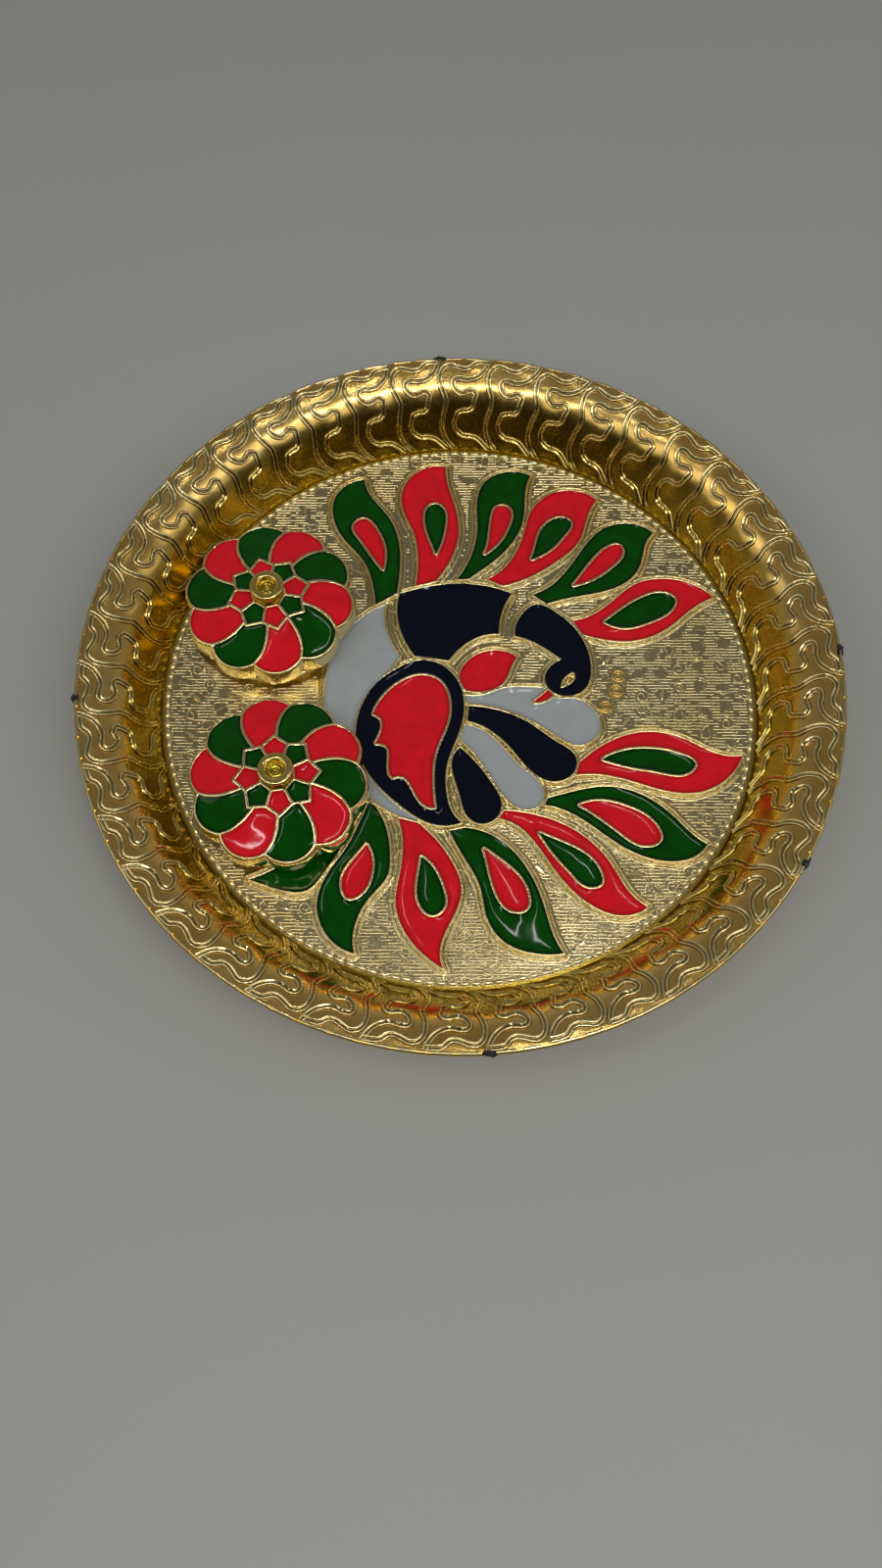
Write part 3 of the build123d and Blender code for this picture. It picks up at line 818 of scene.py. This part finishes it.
def buildFloor():
    f = floorRelief
    edge = ringPoints(floorRadius - f["edgeInset"], f["edgeSteps"])
    reach, clear = floorRadius - f["edgeRoom"], f["rows"][-1] + f["openRoom"]
    spots = rowsBeside(allLoops, f["rows"], nearCell, -1, f["leastStep"])
    spots += [p for p in hexPoints(-floorCorner, floorCorner, f["openStride"]) if nearCell(p) > clear]
    for centre in cupCentre.values():
        for radius in (f["seatRadius"] - f["seatFlank"], f["seatRadius"] + f["seatFlank"]):
            spots += [p for p in ringPoints(radius, f["seatSteps"], centre) if nearCell(p) > f["seatRoom"]]
    spots = [p for p in spots if p.length < reach]
    verts, faces = tiledSolid([edge] + allLoops, spots, lambda p, _: reliefHeight(p),
                              lambda p: floorTop - f["under"])
    return solidMesh("floorRelief", verts, faces, f["sharpAngle"])


floorPiece = dress(buildFloor(), castGold, "tray")
print("floor relief:", len(floorPiece.data.polygons), "faces")


# floor filigree: curls and leaves scattered on the open floor, with broken hatch lines between them

# the rosettes before the bird's head and the pupil of its eye, which the filigree leaves clear
rosettes = {
    # shares of the floor's radius, then the size
    "places": [(0.542, 0.079, 1), (0.532, 0.024, 1), (0.493, -0.037, 1), (0.367, 0.06, 0.36)],
    "rings": {"outer": 0.00145, "outerTube": 0.00036, "inner": 0.00078, "innerTube": 0.00028},
    "ringSteps": 32, "tubeSteps": 10, "lift": 0.00025, "closer": 0.0006,
}
rosettePlaces = [Vector((x, y)) * floorRadius for x, y, _ in rosettes["places"]]
filigree = {
    "lines": {"motifGap": 0.0044, "motifRoom": 0.0024, "motifClear": 0.0014, "smallest": 0.8, "largest": 1.15,
              "rowGap": 0.00078, "rowStep": 0.00066, "rowRoom": 0.0018, "waver": 0.00044, "waverScale": 230.0,
              "breaks": 0.07, "density": 500000.0, "seed": 11},
    "section": [(-.00006, -.00024), (.0002, -.00008), (.0002, .00008), (-.00006, .00024)],
    "sheetStride": 0.0016, "sheetRoom": 0.001, "edgeSteps": 300, "edgeRoom": 0.0012, "edgeCloser": 0.0016,
    # filled motifs: places across from edge to edge, with their heights
    "fill": ((0, -.00006), (.22, .0002), (.78, .0002), (1, -.00006)), "fillAngle": 20,
    "spiral": {"start": 0.0004, "grows": 0.0013, "turns": 1.4, "steps": 20},
    "drop": [(0, .0019), (-.0008, .0007), (-.0011, -.0004), (-.0005, -.0013), (.0005, -.0013), (.001, -.0004),
             (.0004, .0007)],
    # arcs: radius, first and last angle, steps, centre
    "curl": (.0008, -30, 230, 10, (.0007, 0)), "curlTail": [(-.0006, -.0012), (-.0017, -.0014)],
    "twinArc": [(.001, 20, 190, 6), (.0016, 10, 170, 8)],
    "leaf": [(.0024, -44, 44, 6, (-.00172, 0)), (.0024, 224, 136, 6, (.00172, 0))],
    "crescent": [(.0017, 190, 350, 8), (.0021, 215, 325, 8, (0, .0009))],
}


def motifShapes():
    f, s = filigree, filigree["spiral"]
    spiral = [polar(s["start"] + s["grows"] * k / s["steps"], math.tau * s["turns"] * k / s["steps"])
              for k in range(s["steps"] + 1)]
    curl = arcPoints(*f["curl"]) + [Vector(p) for p in f["curlTail"]]
    drop = splineThrough([Vector(p) for p in f["drop"]], closed=True, fine=3)
    arcs = [(arcPoints(*arc), False) for arc in f["twinArc"]]
    lines = {"spiral": [(spiral, False)], "curl": [(curl, False)], "twinArc": arcs, "drop": [(drop, True)]}
    # pairs of edges, filled between
    fills = {name: [arcPoints(*arc) for arc in f[name]] for name in ("leaf", "crescent")}
    return lines, fills


def fillObject(name, edges):
    # low flat-topped shape between two edges that meet at its tips
    verts, faces, crests = [], [], []
    across = filigree["fill"]
    top = max(level for _, level in across)
    for k, (a, b) in enumerate(zip(*edges)):
        taper = min(1, (b - a).length / (2 * top))
        for share, level in across:
            spot = a.lerp(b, share)
            verts.append((spot.x, spot.y, level * taper if level > 0 else level))
            crests.append(max(0, level) / top)
        if k:
            old, new = (k - 1) * len(across), k * len(across)
            for j in range(len(across)):
                n = (j + 1) % len(across)
                faces.append([old + j, new + j, new + n, old + n])
    mesh = plainMesh(name, verts, [], faces)
    markPoints(mesh, "crest", crests)
    smoothen(mesh, filigree["fillAngle"])
    return linkObject(name, mesh)


def drawn(tree, kind, low, high, seed):
    # one random draw for each point
    first = {"FLOAT": 2, "INT": 4}[kind]
    wires = {first: low, first + 1: high, "Seed": seed}
    return addNode(tree, "FunctionNodeRandomValue", wires, data_type=kind).outputs[first // 2]


def filigreeTree(values, motifCount):
    tree, given = growTree("floorFiligree", values)
    sheet, seed = given["Geometry"], given["seed"]

    def less(value, limit):
        return sums(tree, "LESS_THAN", value, limit)

    def without(geometry, gone):
        return outOf(tree, "GeometryNodeDeleteGeometry", {"Geometry": geometry, "Selection": gone})

    room = outOf(tree, "GeometryNodeInputNamedAttribute", {"Name": "room"}, data_type="FLOAT")
    wires = {"Mesh": sheet, "Distance Min": given["motifGap"], "Density Max": given["density"], "Seed": seed}
    spots = outOf(tree, "GeometryNodeDistributePointsOnFaces", wires, distribute_method="POISSON")
    spots = without(spots, less(room, given["motifRoom"]))
    turn = vectorOf(tree, z=drawn(tree, "FLOAT", 0.0, math.tau, seed))
    pick = drawn(tree, "INT", 0, motifCount - 1, seed)
    scale = drawn(tree, "FLOAT", given["smallest"], given["largest"], seed)

    def strewn(label):
        wires = {"Collection": given[label], "Separate Children": True, "Reset Children": True}
        wires = {"Points": spots, "Instance": outOf(tree, "GeometryNodeCollectionInfo", wires),
                 "Pick Instance": True, "Instance Index": pick, "Rotation": turn, "Scale": scale}
        placed = outOf(tree, "GeometryNodeInstanceOnPoints", wires)
        return outOf(tree, "GeometryNodeRealizeInstances", {"Geometry": placed})

    back, wide = (sums(tree, "MULTIPLY", given["reach"], factor) for factor in (-1.0, 2.0))
    column = outOf(tree, "GeometryNodeMeshLine", {
        "Count": sums(tree, "DIVIDE", wide, given["rowGap"]),
        "Start Location": vectorOf(tree, 0.0, back, given["level"]),
        "Offset": vectorOf(tree, 0.0, given["rowGap"])})
    row = outOf(tree, "GeometryNodeMeshLine", {
        "Count": sums(tree, "DIVIDE", wide, given["rowStep"]),
        "Start Location": vectorOf(tree, back), "Offset": vectorOf(tree, given["rowStep"])})
    rows = outOf(tree, "GeometryNodeInstanceOnPoints", {"Points": column, "Instance": row})
    rows = outOf(tree, "GeometryNodeRealizeInstances", {"Geometry": rows})
    place = outOf(tree, "GeometryNodeInputPosition")
    drift = sums(tree, "SUBTRACT", noiseAt(tree, place, given["waverScale"]), 0.5)
    drift = vectorOf(tree, 0.0, sums(tree, "MULTIPLY", drift, given["waver"]))
    rows = outOf(tree, "GeometryNodeSetPosition", {"Geometry": rows, "Offset": drift})
    wires = {"Mesh": sheet, "Value": room, "Sample Position": place}
    roomHere = outOf(tree, "GeometryNodeSampleNearestSurface", wires, data_type="FLOAT")
    toMotif = addNode(tree, "GeometryNodeProximity", {0: spots}, target_element="POINTS").outputs["Distance"]
    gone = sums(tree, "ADD", less(roomHere, given["rowRoom"]), less(toMotif, given["motifClear"]))
    gone = sums(tree, "ADD", gone, less(drawn(tree, "FLOAT", 0.0, 1.0, seed), given["breaks"]))
    lines = joined(tree, without(rows, gone), strewn("motifs"))
    ridges = sweepRidge(tree, lines, (0.0, 0.0, 1.0), given["section"])
    return closeTree(tree, joined(tree, ridges, strewn("fills")), given["finish"])


def openSheet():
    # flat sheet of the floor between the cells, marked with the room round each point
    reach = floorRadius - filigree["edgeRoom"]
    spots = hexPoints(-floorCorner, floorCorner, filigree["sheetStride"])
    spots = [p for p in spots if nearCell(p) > filigree["sheetRoom"]]
    flat, tiles, _, _ = fillTiles([ringPoints(reach, filigree["edgeSteps"])] + allLoops, spots)
    mesh = plainMesh("openSheet", [(p.x, p.y, floorTop) for p in flat], [], tiles)
    markPoints(mesh, "room", [roomAt(p, reach) for p in flat])
    return linkObject("openSheet", mesh)


def roomAt(point, reach):
    # the hatch may come closer to the rim and the rosettes than to the cells
    ring = rosettes["rings"]["outer"] - rosettes["closer"]
    rings = [(point - place).length - ring for place in rosettePlaces]
    return min(nearCell(point), pastSeats(point), reach - point.length + filigree["edgeCloser"], *rings)


def buildFiligree():
    bins = {label: bpy.data.collections.new(label) for label in ("motifs", "fills")}
    shapes = []
    lines, fills = motifShapes()
    for name in (*lines, *fills):
        pair = {"motifs": lineObject(name, lines.get(name, [])),
                "fills": fillObject(name + "Fill", fills.get(name, ([], [])))}
        for label, shape in pair.items():
            bpy.context.scene.collection.objects.unlink(shape)
            bins[label].objects.link(shape)
            shapes.append(shape)
    for holder in bins.values():
        bpy.context.scene.collection.children.link(holder)
    sheet, section = openSheet(), sectionObject("hairSection", filigree["section"])
    values = {**bins, **filigree["lines"], "reach": floorRadius, "level": floorTop, "section": section,
              "finish": hatchGold}
    made = runTree(sheet, filigreeTree(values, len(lines) + len(fills)), values)
    clearAway(*shapes, sheet, section)
    for holder in bins.values():
        bpy.data.collections.remove(holder)
    return dress(made, hatchGold, "tray")


print("floor filigree:", len(buildFiligree().data.polygons), "faces")


# a row of long beads where the floor meets the rim, and the rosettes

edgeBeads = {"count": 170, "radius": 0.0713, "size": (0.00122, 0.0007, 0.00062)}


def beadTree(values):
    tree, given = growTree("edgeBeads", values)
    wires = {"Resolution": given["count"], "Radius": given["radius"]}
    ring = outOf(tree, "GeometryNodeCurvePrimitiveCircle", wires)
    spots = outOf(tree, "GeometryNodeCurveToPoints", {"Curve": ring, "Count": given["count"]})
    bead = outOf(tree, "GeometryNodeMeshUVSphere", {"Segments": 8, "Rings": 6, "Radius": 1.0})
    wires = {"Points": spots, "Instance": bead, "Scale": given["size"],
             "Rotation": turnEach(tree, given["count"], math.tau / 4)}
    row = outOf(tree, "GeometryNodeInstanceOnPoints", wires)
    lifted = outOf(tree, "GeometryNodeSetPosition", {"Geometry": row, "Offset": (0.0, 0.0, floorTop)})
    return closeTree(tree, lifted, given["finish"])


def rosetteTree(values):
    tree, given = growTree("rosettes", values)

    def circle(steps, radius):
        return outOf(tree, "GeometryNodeCurvePrimitiveCircle", {"Resolution": steps, "Radius": given[radius]})

    rings = []
    for size in ("outer", "inner"):
        wires = {"Curve": circle(rosettes["ringSteps"], size),
                 "Profile Curve": circle(rosettes["tubeSteps"], size + "Tube")}
        rings.append(outOf(tree, "GeometryNodeCurveToMesh", wires))
    size = outOf(tree, "GeometryNodeInputNamedAttribute", {"Name": "size"}, data_type="FLOAT")
    wires = {"Points": given["Geometry"], "Instance": joined(tree, *rings), "Scale": size}
    return closeTree(tree, outOf(tree, "GeometryNodeInstanceOnPoints", wires), given["finish"])


def buildTrims():
    host = lineObject("trimHost", [([Vector((0, 0, 0))], False)])
    values = {**edgeBeads, "finish": beadGold}
    dress(runTree(host, beadTree(values), values), beadGold, "tray")
    places = [Vector((*place, floorTop + rosettes["lift"])) for place in rosettePlaces]
    spots = lineObject("rosetteSpots", [([place], False) for place in places])
    markPoints(spots.data, "size", [size for _, _, size in rosettes["places"]])
    values = {**rosettes["rings"], "finish": ringGold}
    dress(runTree(spots, rosetteTree(values), values), ringGold, "tray")
    clearAway(host, spots)


buildTrims()
print("edge beads and rosettes placed")


# stubs of bare black plastic on the lip, where the moulding was broken off its runners

lipStubs = {"angles": (93.7, -174.6, 3.5, -32.0, -86.0), "halfLength": 0.0021, "halfWidth": 0.0010,
            "halfHeight": 0.0007, "lengths": (0.7, 1.3), "radius": 0.0896, "height": lipTop - 0.0005,
            "jitter": 0.45, "seed": 5, "sharpAngle": 25,
            "deep": (0.004, 0.004, 0.004, 1), "pale": (0.018, 0.016, 0.013, 1), "patchScale": 1800.0,
            "roughness": 0.45, "relief": 0.8, "reliefDepth": 0.0002}


def stubFinish():
    material, tree, shader, place = openMaterial("bareBlackPlastic")
    drift = noiseAt(tree, place, lipStubs["patchScale"], detail=3.0)
    tint = blendColours(tree, drift, lipStubs["deep"], lipStubs["pale"])
    tree.links.new(tint, shader.inputs["Base Color"])
    shader.inputs["Roughness"].default_value = lipStubs["roughness"]
    bumpBy(tree, shader, drift, lipStubs["relief"], lipStubs["reliefDepth"])
    return material


def buildStubs():
    draw = random.Random(lipStubs["seed"])
    shape = bmesh.new()
    for angle in lipStubs["angles"]:
        lump = bmesh.ops.create_icosphere(shape, subdivisions=2, radius=1)["verts"]
        turn = Matrix.Rotation(math.radians(angle), 4, "Z")
        length = lipStubs["halfLength"] * draw.uniform(*lipStubs["lengths"])
        for vert in lump:
            rough = 1 - lipStubs["jitter"] * draw.random()
            local = Vector((lipStubs["radius"] + vert.co.x * lipStubs["halfWidth"] * rough,
                            vert.co.y * length * rough,
                            lipStubs["height"] + vert.co.z * lipStubs["halfHeight"] * rough))
            vert.co = turn @ local
    mesh = bpy.data.meshes.new("lipStubs")
    shape.to_mesh(mesh)
    shape.free()
    smoothen(mesh, lipStubs["sharpAngle"])
    return dress(linkObject("lipStubs", mesh), stubFinish(), "tray", slotName=None)


buildStubs()
print("lip stubs placed")


# enamel: poured into the cells, climbing a little at the walls

pour = {"edgeOut": 0.00009, "climb": 0.0003, "climbReach": 0.0009, "level": -0.0002, "stride": 0.0007,
        "rows": (0.00015, 0.00035, 0.0006, 0.0009, 0.0013), "leastStep": 0.00013, "openRoom": 0.0003}


def pourShape(loops, surface, foot):
    near = nearTo(loops)
    inner = rowsBeside(loops, pour["rows"], near, 1, pour["leastStep"])
    spots = [p for loop in loops for p in loop]
    low = Vector((min(p.x for p in spots), min(p.y for p in spots)))
    high = Vector((max(p.x for p in spots), max(p.y for p in spots)))
    clear = pour["rows"][-1] + pour["openRoom"]
    inner += [p for p in hexPoints(low, high, pour["stride"]) if near(p) > clear]
    wide = [spreadLoop(loop, pour["edgeOut"]) for loop in loops]  # the pour runs under the wall's shoulder
    return tiledSolid(wide, inner, lambda p, atWall: surface(p, 0 if atWall else near(p)), foot)


def climbAt(away):
    return pour["climb"] * math.exp(-away / pour["climbReach"])


def buildPour(node, pools, surface, foot):
    verts, faces = [], []
    for loops in pools:
        addTo(verts, faces, *pourShape(loops, surface, foot))
    piece = solidMesh(node + "_pour", verts, faces)
    # how far each point lies from its wall, for the colour of the pour
    near = nearTo([loop for loops in pools for loop in loops])
    markPoints(piece.data, "shore", [near(v.co) for v in piece.data.vertices])
    dress(piece, enamel[slotOf[node]], bodyOf[node], node, slotName=slotOf[node])


for node, loops in trayCells.items():
    buildPour(node, [loops], lambda p, away: enamelTop + pour["level"] + climbAt(away), lambda p: floorTop)
print("pours:", len(trayCells))


# lids: lobed domes with walled petals and buds, over round cups

lid = {"wallWidth": 0.0007, "wallHeight": 0.0003, "wallFoot": 0.0001, "openFoot": 0.00005, "rise": 0.003,
       "tipRadius": 0.0211, "thickness": 0.0014, "pocketDepth": 0.00065, "pourLift": 0.0001,
       "boreRadius": 0.0185, "boreSteps": 180, "ledgeRadius": 0.0169, "ceilingRings": 8, "edgeRound": 0.00055,
       "edgeRows": (0.00012, 0.00028, 0.0005), "rows": (0.0001, 0.0002, 0.00035, 0.0005), "leastStep": 0.0001,
       "sharpAngle": 60}
domeRadius = (lid["tipRadius"] ** 2 + lid["rise"] ** 2) / (2 * lid["rise"])


def buildLid(number):
    name = f"lid_{number}"
    centre = cupCentre[number]
    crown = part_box(name + "_knob")[0].z + lid["thickness"]
    skirtFoot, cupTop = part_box(name + "_shell")[0].z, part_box(f"cup_{number}")[1].z
    nodes = [n for n in slotOf if n.startswith(name) and slotOf[n] != "gold_plating"]
    cells = {n: topLoops(n) for n in nodes}
    cellLoops = [loop for loops in cells.values() for loop in loops]
    outline = max(topLoops(name + "_shell"), key=lambda loop: max((p - loop[0]).length for p in loop))
    nearWall, nearEdge = nearTo(cellLoops), nearTo([outline])

    def dome(point):
        return crown - domeRadius + math.sqrt(domeRadius ** 2 - (Vector(point[:2]) - centre).length_squared)

    def wallTop(point):
        away, soft = nearWall(point), lid["edgeRound"]
        rise = lid["wallFoot"] + (lid["wallHeight"] - lid["wallFoot"]) * bump(0, lid["wallWidth"], away)
        if away > lid["wallWidth"]:
            rise = lid["openFoot"]
        lost = soft * (1 - bump(0, 2 * soft, min(nearEdge(point), soft)))
        return dome(point) + rise - lost

    inner = rowsBeside(cellLoops, lid["rows"], nearWall, -1, lid["leastStep"])
    inner += rowsBeside([outline], lid["edgeRows"], nearEdge, 1, lid["leastStep"])
    flat, tiles, edgeAt, edges = fillTiles([outline] + cellLoops, inner)
    verts = [(p.x, p.y, wallTop(p)) for p in flat]
    faces = [list(tile) for tile in tiles]
    # pockets under the enamel
    start = len(outline)
    base = addTo(verts, faces, [(p.x, p.y, dome(p) - lid["pocketDepth"]) for loop in cellLoops for p in loop])
    faces += [[edgeAt[a], edgeAt[b], base + b - start, base + a - start] for a, b in edges[start:]]
    for loop in cellLoops:
        faces.append([base + k for k in range(len(loop))])
        base += len(loop)
    # skirt, the ring under it, the bore and the ceiling
    base = addTo(verts, faces, [(p.x, p.y, skirtFoot) for p in outline])
    faces += [[edgeAt[a], base + a, base + b, edgeAt[b]] for a, b in edges[:start]]
    boreRadius, ledge, steps = lid["boreRadius"], lid["ledgeRadius"], lid["boreSteps"]
    bore = [polar(boreRadius, -math.tau * k / steps, centre) for k in range(steps)]
    ring, ringTiles, _, _ = fillTiles([outline, bore], [])
    addTo(verts, faces, [(p.x, p.y, skirtFoot) for p in ring], [tile[::-1] for tile in ringTiles])
    inside = [(boreRadius, skirtFoot), (boreRadius, cupTop), (ledge, cupTop)]
    ceiling = domeRadius - lid["thickness"]
    for k in range(lid["ceilingRings"] + 1):
        radius = ledge * (1 - k / lid["ceilingRings"])
        inside.append((radius, crown - domeRadius + math.sqrt(ceiling ** 2 - radius ** 2)))
    addTo(verts, faces, *lathe(inside, steps, centre))
    dress(solidMesh(name + "_dome", verts, faces, lid["sharpAngle"]), ridgeGold, name, name + "_shell")
    for node, loops in cells.items():
        buildPour(node, [[loop] for loop in loops], lambda p, away: dome(p) + climbAt(away) + pour["level"],
                  lambda p: dome(p) - lid["pocketDepth"] + lid["pourLift"])


knobShape = {
    "steps": 72, "height": 0.004, "stemRadius": 0.0016, "footRadius": 0.0031, "sharpAngle": 70,
    # radius and height over the seat, up to where the flank reaches the brim
    "flank": [(.0032, .0001), (.00268, .0012), (.0029, .0021), (.0037, .0028)], "brimDepth": 0.0007,
    # inset from the brim and depth below the top
    "brim": [(.00008, .00035), (.0003, .0001), (.0006, 0)],
    # radius and depth below the top
    "dish": [(.0027, .00005), (.0024, .0002), (.0022, .0006), (.0021, .0011), (.00185, .0014),
             (.0016, .00145), (.0014, .0013), (.0012, .00125), (.001, .0013), (.0008, .00148),
             (.0006, .0014), (.0004, .0010), (.0002, .00085), (0, .0008)],
}


def buildKnob(number):
    low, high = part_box(f"lid_{number}_knob")
    top, wide = high.z, (high.x - low.x) / 2
    seat, stem = top - knobShape["height"], knobShape["stemRadius"]
    flank = [Vector((radius, seat + rise)) for radius, rise in knobShape["flank"]]
    flank.append(Vector((wide, top - knobShape["brimDepth"])))
    profile = [(0, low.z), (stem, low.z), (stem, seat), (knobShape["footRadius"], seat)]
    profile += splineThrough(flank, fine=6)
    profile += [(wide - inset, top - depth) for inset, depth in knobShape["brim"]]
    profile += [(radius, top - depth) for radius, depth in knobShape["dish"]]
    verts, faces = lathe(profile, knobShape["steps"], cupCentre[number])
    piece = solidMesh(f"lid_{number}_grip", verts, faces, knobShape["sharpAngle"])
    dress(piece, knobGold, f"lid_{number}", f"lid_{number}_knob")


cupShape = {"steps": 160, "wall": 0.0013, "floor": 0.0014, "round": 0.0006, "roundSteps": 4, "lipSteps": 8,
            "seatGap": 0.00015, "stakeRadius": 0.0025, "headRadius": 0.004, "headRound": 0.0003}


def buildCup(number):
    low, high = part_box(f"cup_{number}")
    radius, soft, lip = (high.x - low.x) / 2, cupShape["round"], cupShape["wall"] / 2
    stake, head, headRound = cupShape["stakeRadius"], cupShape["headRadius"], cupShape["headRound"]
    base = enamelTop + cupShape["seatGap"]
    inner, floor = radius - cupShape["wall"], base + cupShape["floor"]
    profile = [(0, low.z), (head - headRound, low.z), (head, low.z + headRound), (head, rim["footHeight"]),
               (stake, rim["footHeight"]), (stake, base)]
    profile += arcPoints(soft, -90, 0, cupShape["roundSteps"], (radius - soft, base + soft))
    profile += arcPoints(lip, 0, 180, cupShape["lipSteps"], (radius - lip, high.z - lip))
    profile += arcPoints(soft, 0, -90, cupShape["roundSteps"], (inner - soft, floor + soft))
    verts, faces = lathe(profile + [(0, floor)], cupShape["steps"], cupCentre[number])
    dress(solidMesh(f"cup_{number}_bowl", verts, faces), polishedGold, "tray", f"cup_{number}")


for number in lidNumbers:
    buildLid(number)
    buildKnob(number)
    buildCup(number)
print("lids, knobs and cups ready")


# floor, light and camera

stageLook = {"size": 4.0, "colour": (0.44, 0.447, 0.43), "driftShare": 0.95, "driftScale": 6.0,
             "roughness": 0.55}
photoView = {"eye": (-0.00436, -0.13503, 0.28676), "tilt": 21.62, "roll": 0.4, "lens": 29.25, "sensor": 36,
             "sight": (0.01, 20)}
lamps = {
    "keyPanel": {"spot": (0.1, -0.4, 0.93), "size": (0.8, 0.12), "power": 2.6, "tint": (1, 0.99, 0.96)},
    "softLeft": {"spot": (-0.72, -0.41, 0.96), "size": (0.95, 0.5), "power": 1.6, "tint": (1, 0.99, 0.96)},
    "softRight": {"spot": (0.72, -0.41, 0.96), "size": (0.95, 0.5), "power": 1.6, "tint": (1, 0.99, 0.96)},
    "leftPanel": {"spot": (-0.8, -0.05, 0.6), "size": (0.45, 0.45), "power": 0.35, "tint": (1, 0.98, 0.95)},
    "rightPanel": {"spot": (0.8, -0.05, 0.6), "size": (0.45, 0.45), "power": 0.3, "tint": (1, 1, 1)},
    "sideStrip": {"spot": (-0.26, -0.07, 0.92), "size": (0.008, 0.24), "power": 0.2, "tint": (1, 1, 1)},
    "strip": {"spot": (0.1, 0.01, 0.9), "size": (0.5, 0.009), "power": 0.32, "tint": (1, 1, 1)},
}
# brightness of the studio round the plate by height: bright walls, dim ceiling, dark behind the camera
sky = {"bands": ((0.0, 0.28), (0.16, 0.28), (0.46, 0.18), (1.0, 0.14)), "tint": (1, 0.985, 0.96),
       "darkTo": -0.9, "fullFrom": 0.3, "dark": (0.024, 0.02, 0.017, 1)}


def setStage():
    half = stageLook["size"] / 2
    corners = [(-half, -half, 0), (half, -half, 0), (half, half, 0), (-half, half, 0)]
    table = linkObject("table", plainMesh("table", corners, [], [(0, 1, 2, 3)]))
    material, tree, shader, place = openMaterial("paleTable")
    drift = noiseAt(tree, place, stageLook["driftScale"], detail=3.0)
    pale = stageLook["colour"]
    tint = blendColours(tree, drift, (*pale, 1), (*(stageLook["driftShare"] * c for c in pale), 1))
    tree.links.new(tint, shader.inputs["Base Color"])
    shader.inputs["Roughness"].default_value = stageLook["roughness"]
    table.data.materials.append(material)


def setLight():
    for name, facts in lamps.items():
        light = bpy.data.lights.new(name, "AREA")
        light.shape = "RECTANGLE"
        light.size, light.size_y = facts["size"]
        light.energy = facts["power"]
        light.color = facts["tint"]
        lamp = linkObject(name, light)
        lamp.location = facts["spot"]
        lamp.rotation_euler = (-lamp.location).to_track_quat("-Z", "Y").to_euler()
    world = bpy.data.worlds.new("studio")
    world.use_nodes = True
    bpy.context.scene.world = world
    tree = world.node_tree
    aim = addNode(tree, "ShaderNodeTexCoord").outputs["Generated"]
    _, along, up = addNode(tree, "ShaderNodeSeparateXYZ", {0: aim}).outputs
    ramp = addNode(tree, "ShaderNodeValToRGB", {"Fac": up})
    ramp.color_ramp.interpolation = "EASE"
    for place, _ in sky["bands"][1:-1]:
        ramp.color_ramp.elements.new(place)
    for element, (place, level) in zip(ramp.color_ramp.elements, sky["bands"]):
        element.position, element.color = place, [level * c for c in sky["tint"]] + [1]
    wires = {"Value": along, "From Min": sky["darkTo"], "From Max": sky["fullFrom"]}
    share = outOf(tree, "ShaderNodeMapRange", wires, interpolation_type="SMOOTHSTEP")
    colour = blendColours(tree, share, sky["dark"], ramp.outputs["Color"])
    tree.links.new(colour, tree.nodes["Background"].inputs["Color"])


def setCamera():
    lens = bpy.data.cameras.new("photoView")
    lens.lens, lens.sensor_width = photoView["lens"], photoView["sensor"]
    lens.clip_start, lens.clip_end = photoView["sight"]
    camera = linkObject("photoView", lens)
    turn = Matrix.Rotation(math.radians(photoView["tilt"]), 4, "X")
    roll = Matrix.Rotation(math.radians(photoView["roll"]), 4, "Z")
    camera.matrix_world = Matrix.Translation(photoView["eye"]) @ turn @ roll
    bpy.context.scene.camera = camera


setStage()
setLight()
setCamera()
bpy.context.scene.view_settings.view_transform = "Standard"
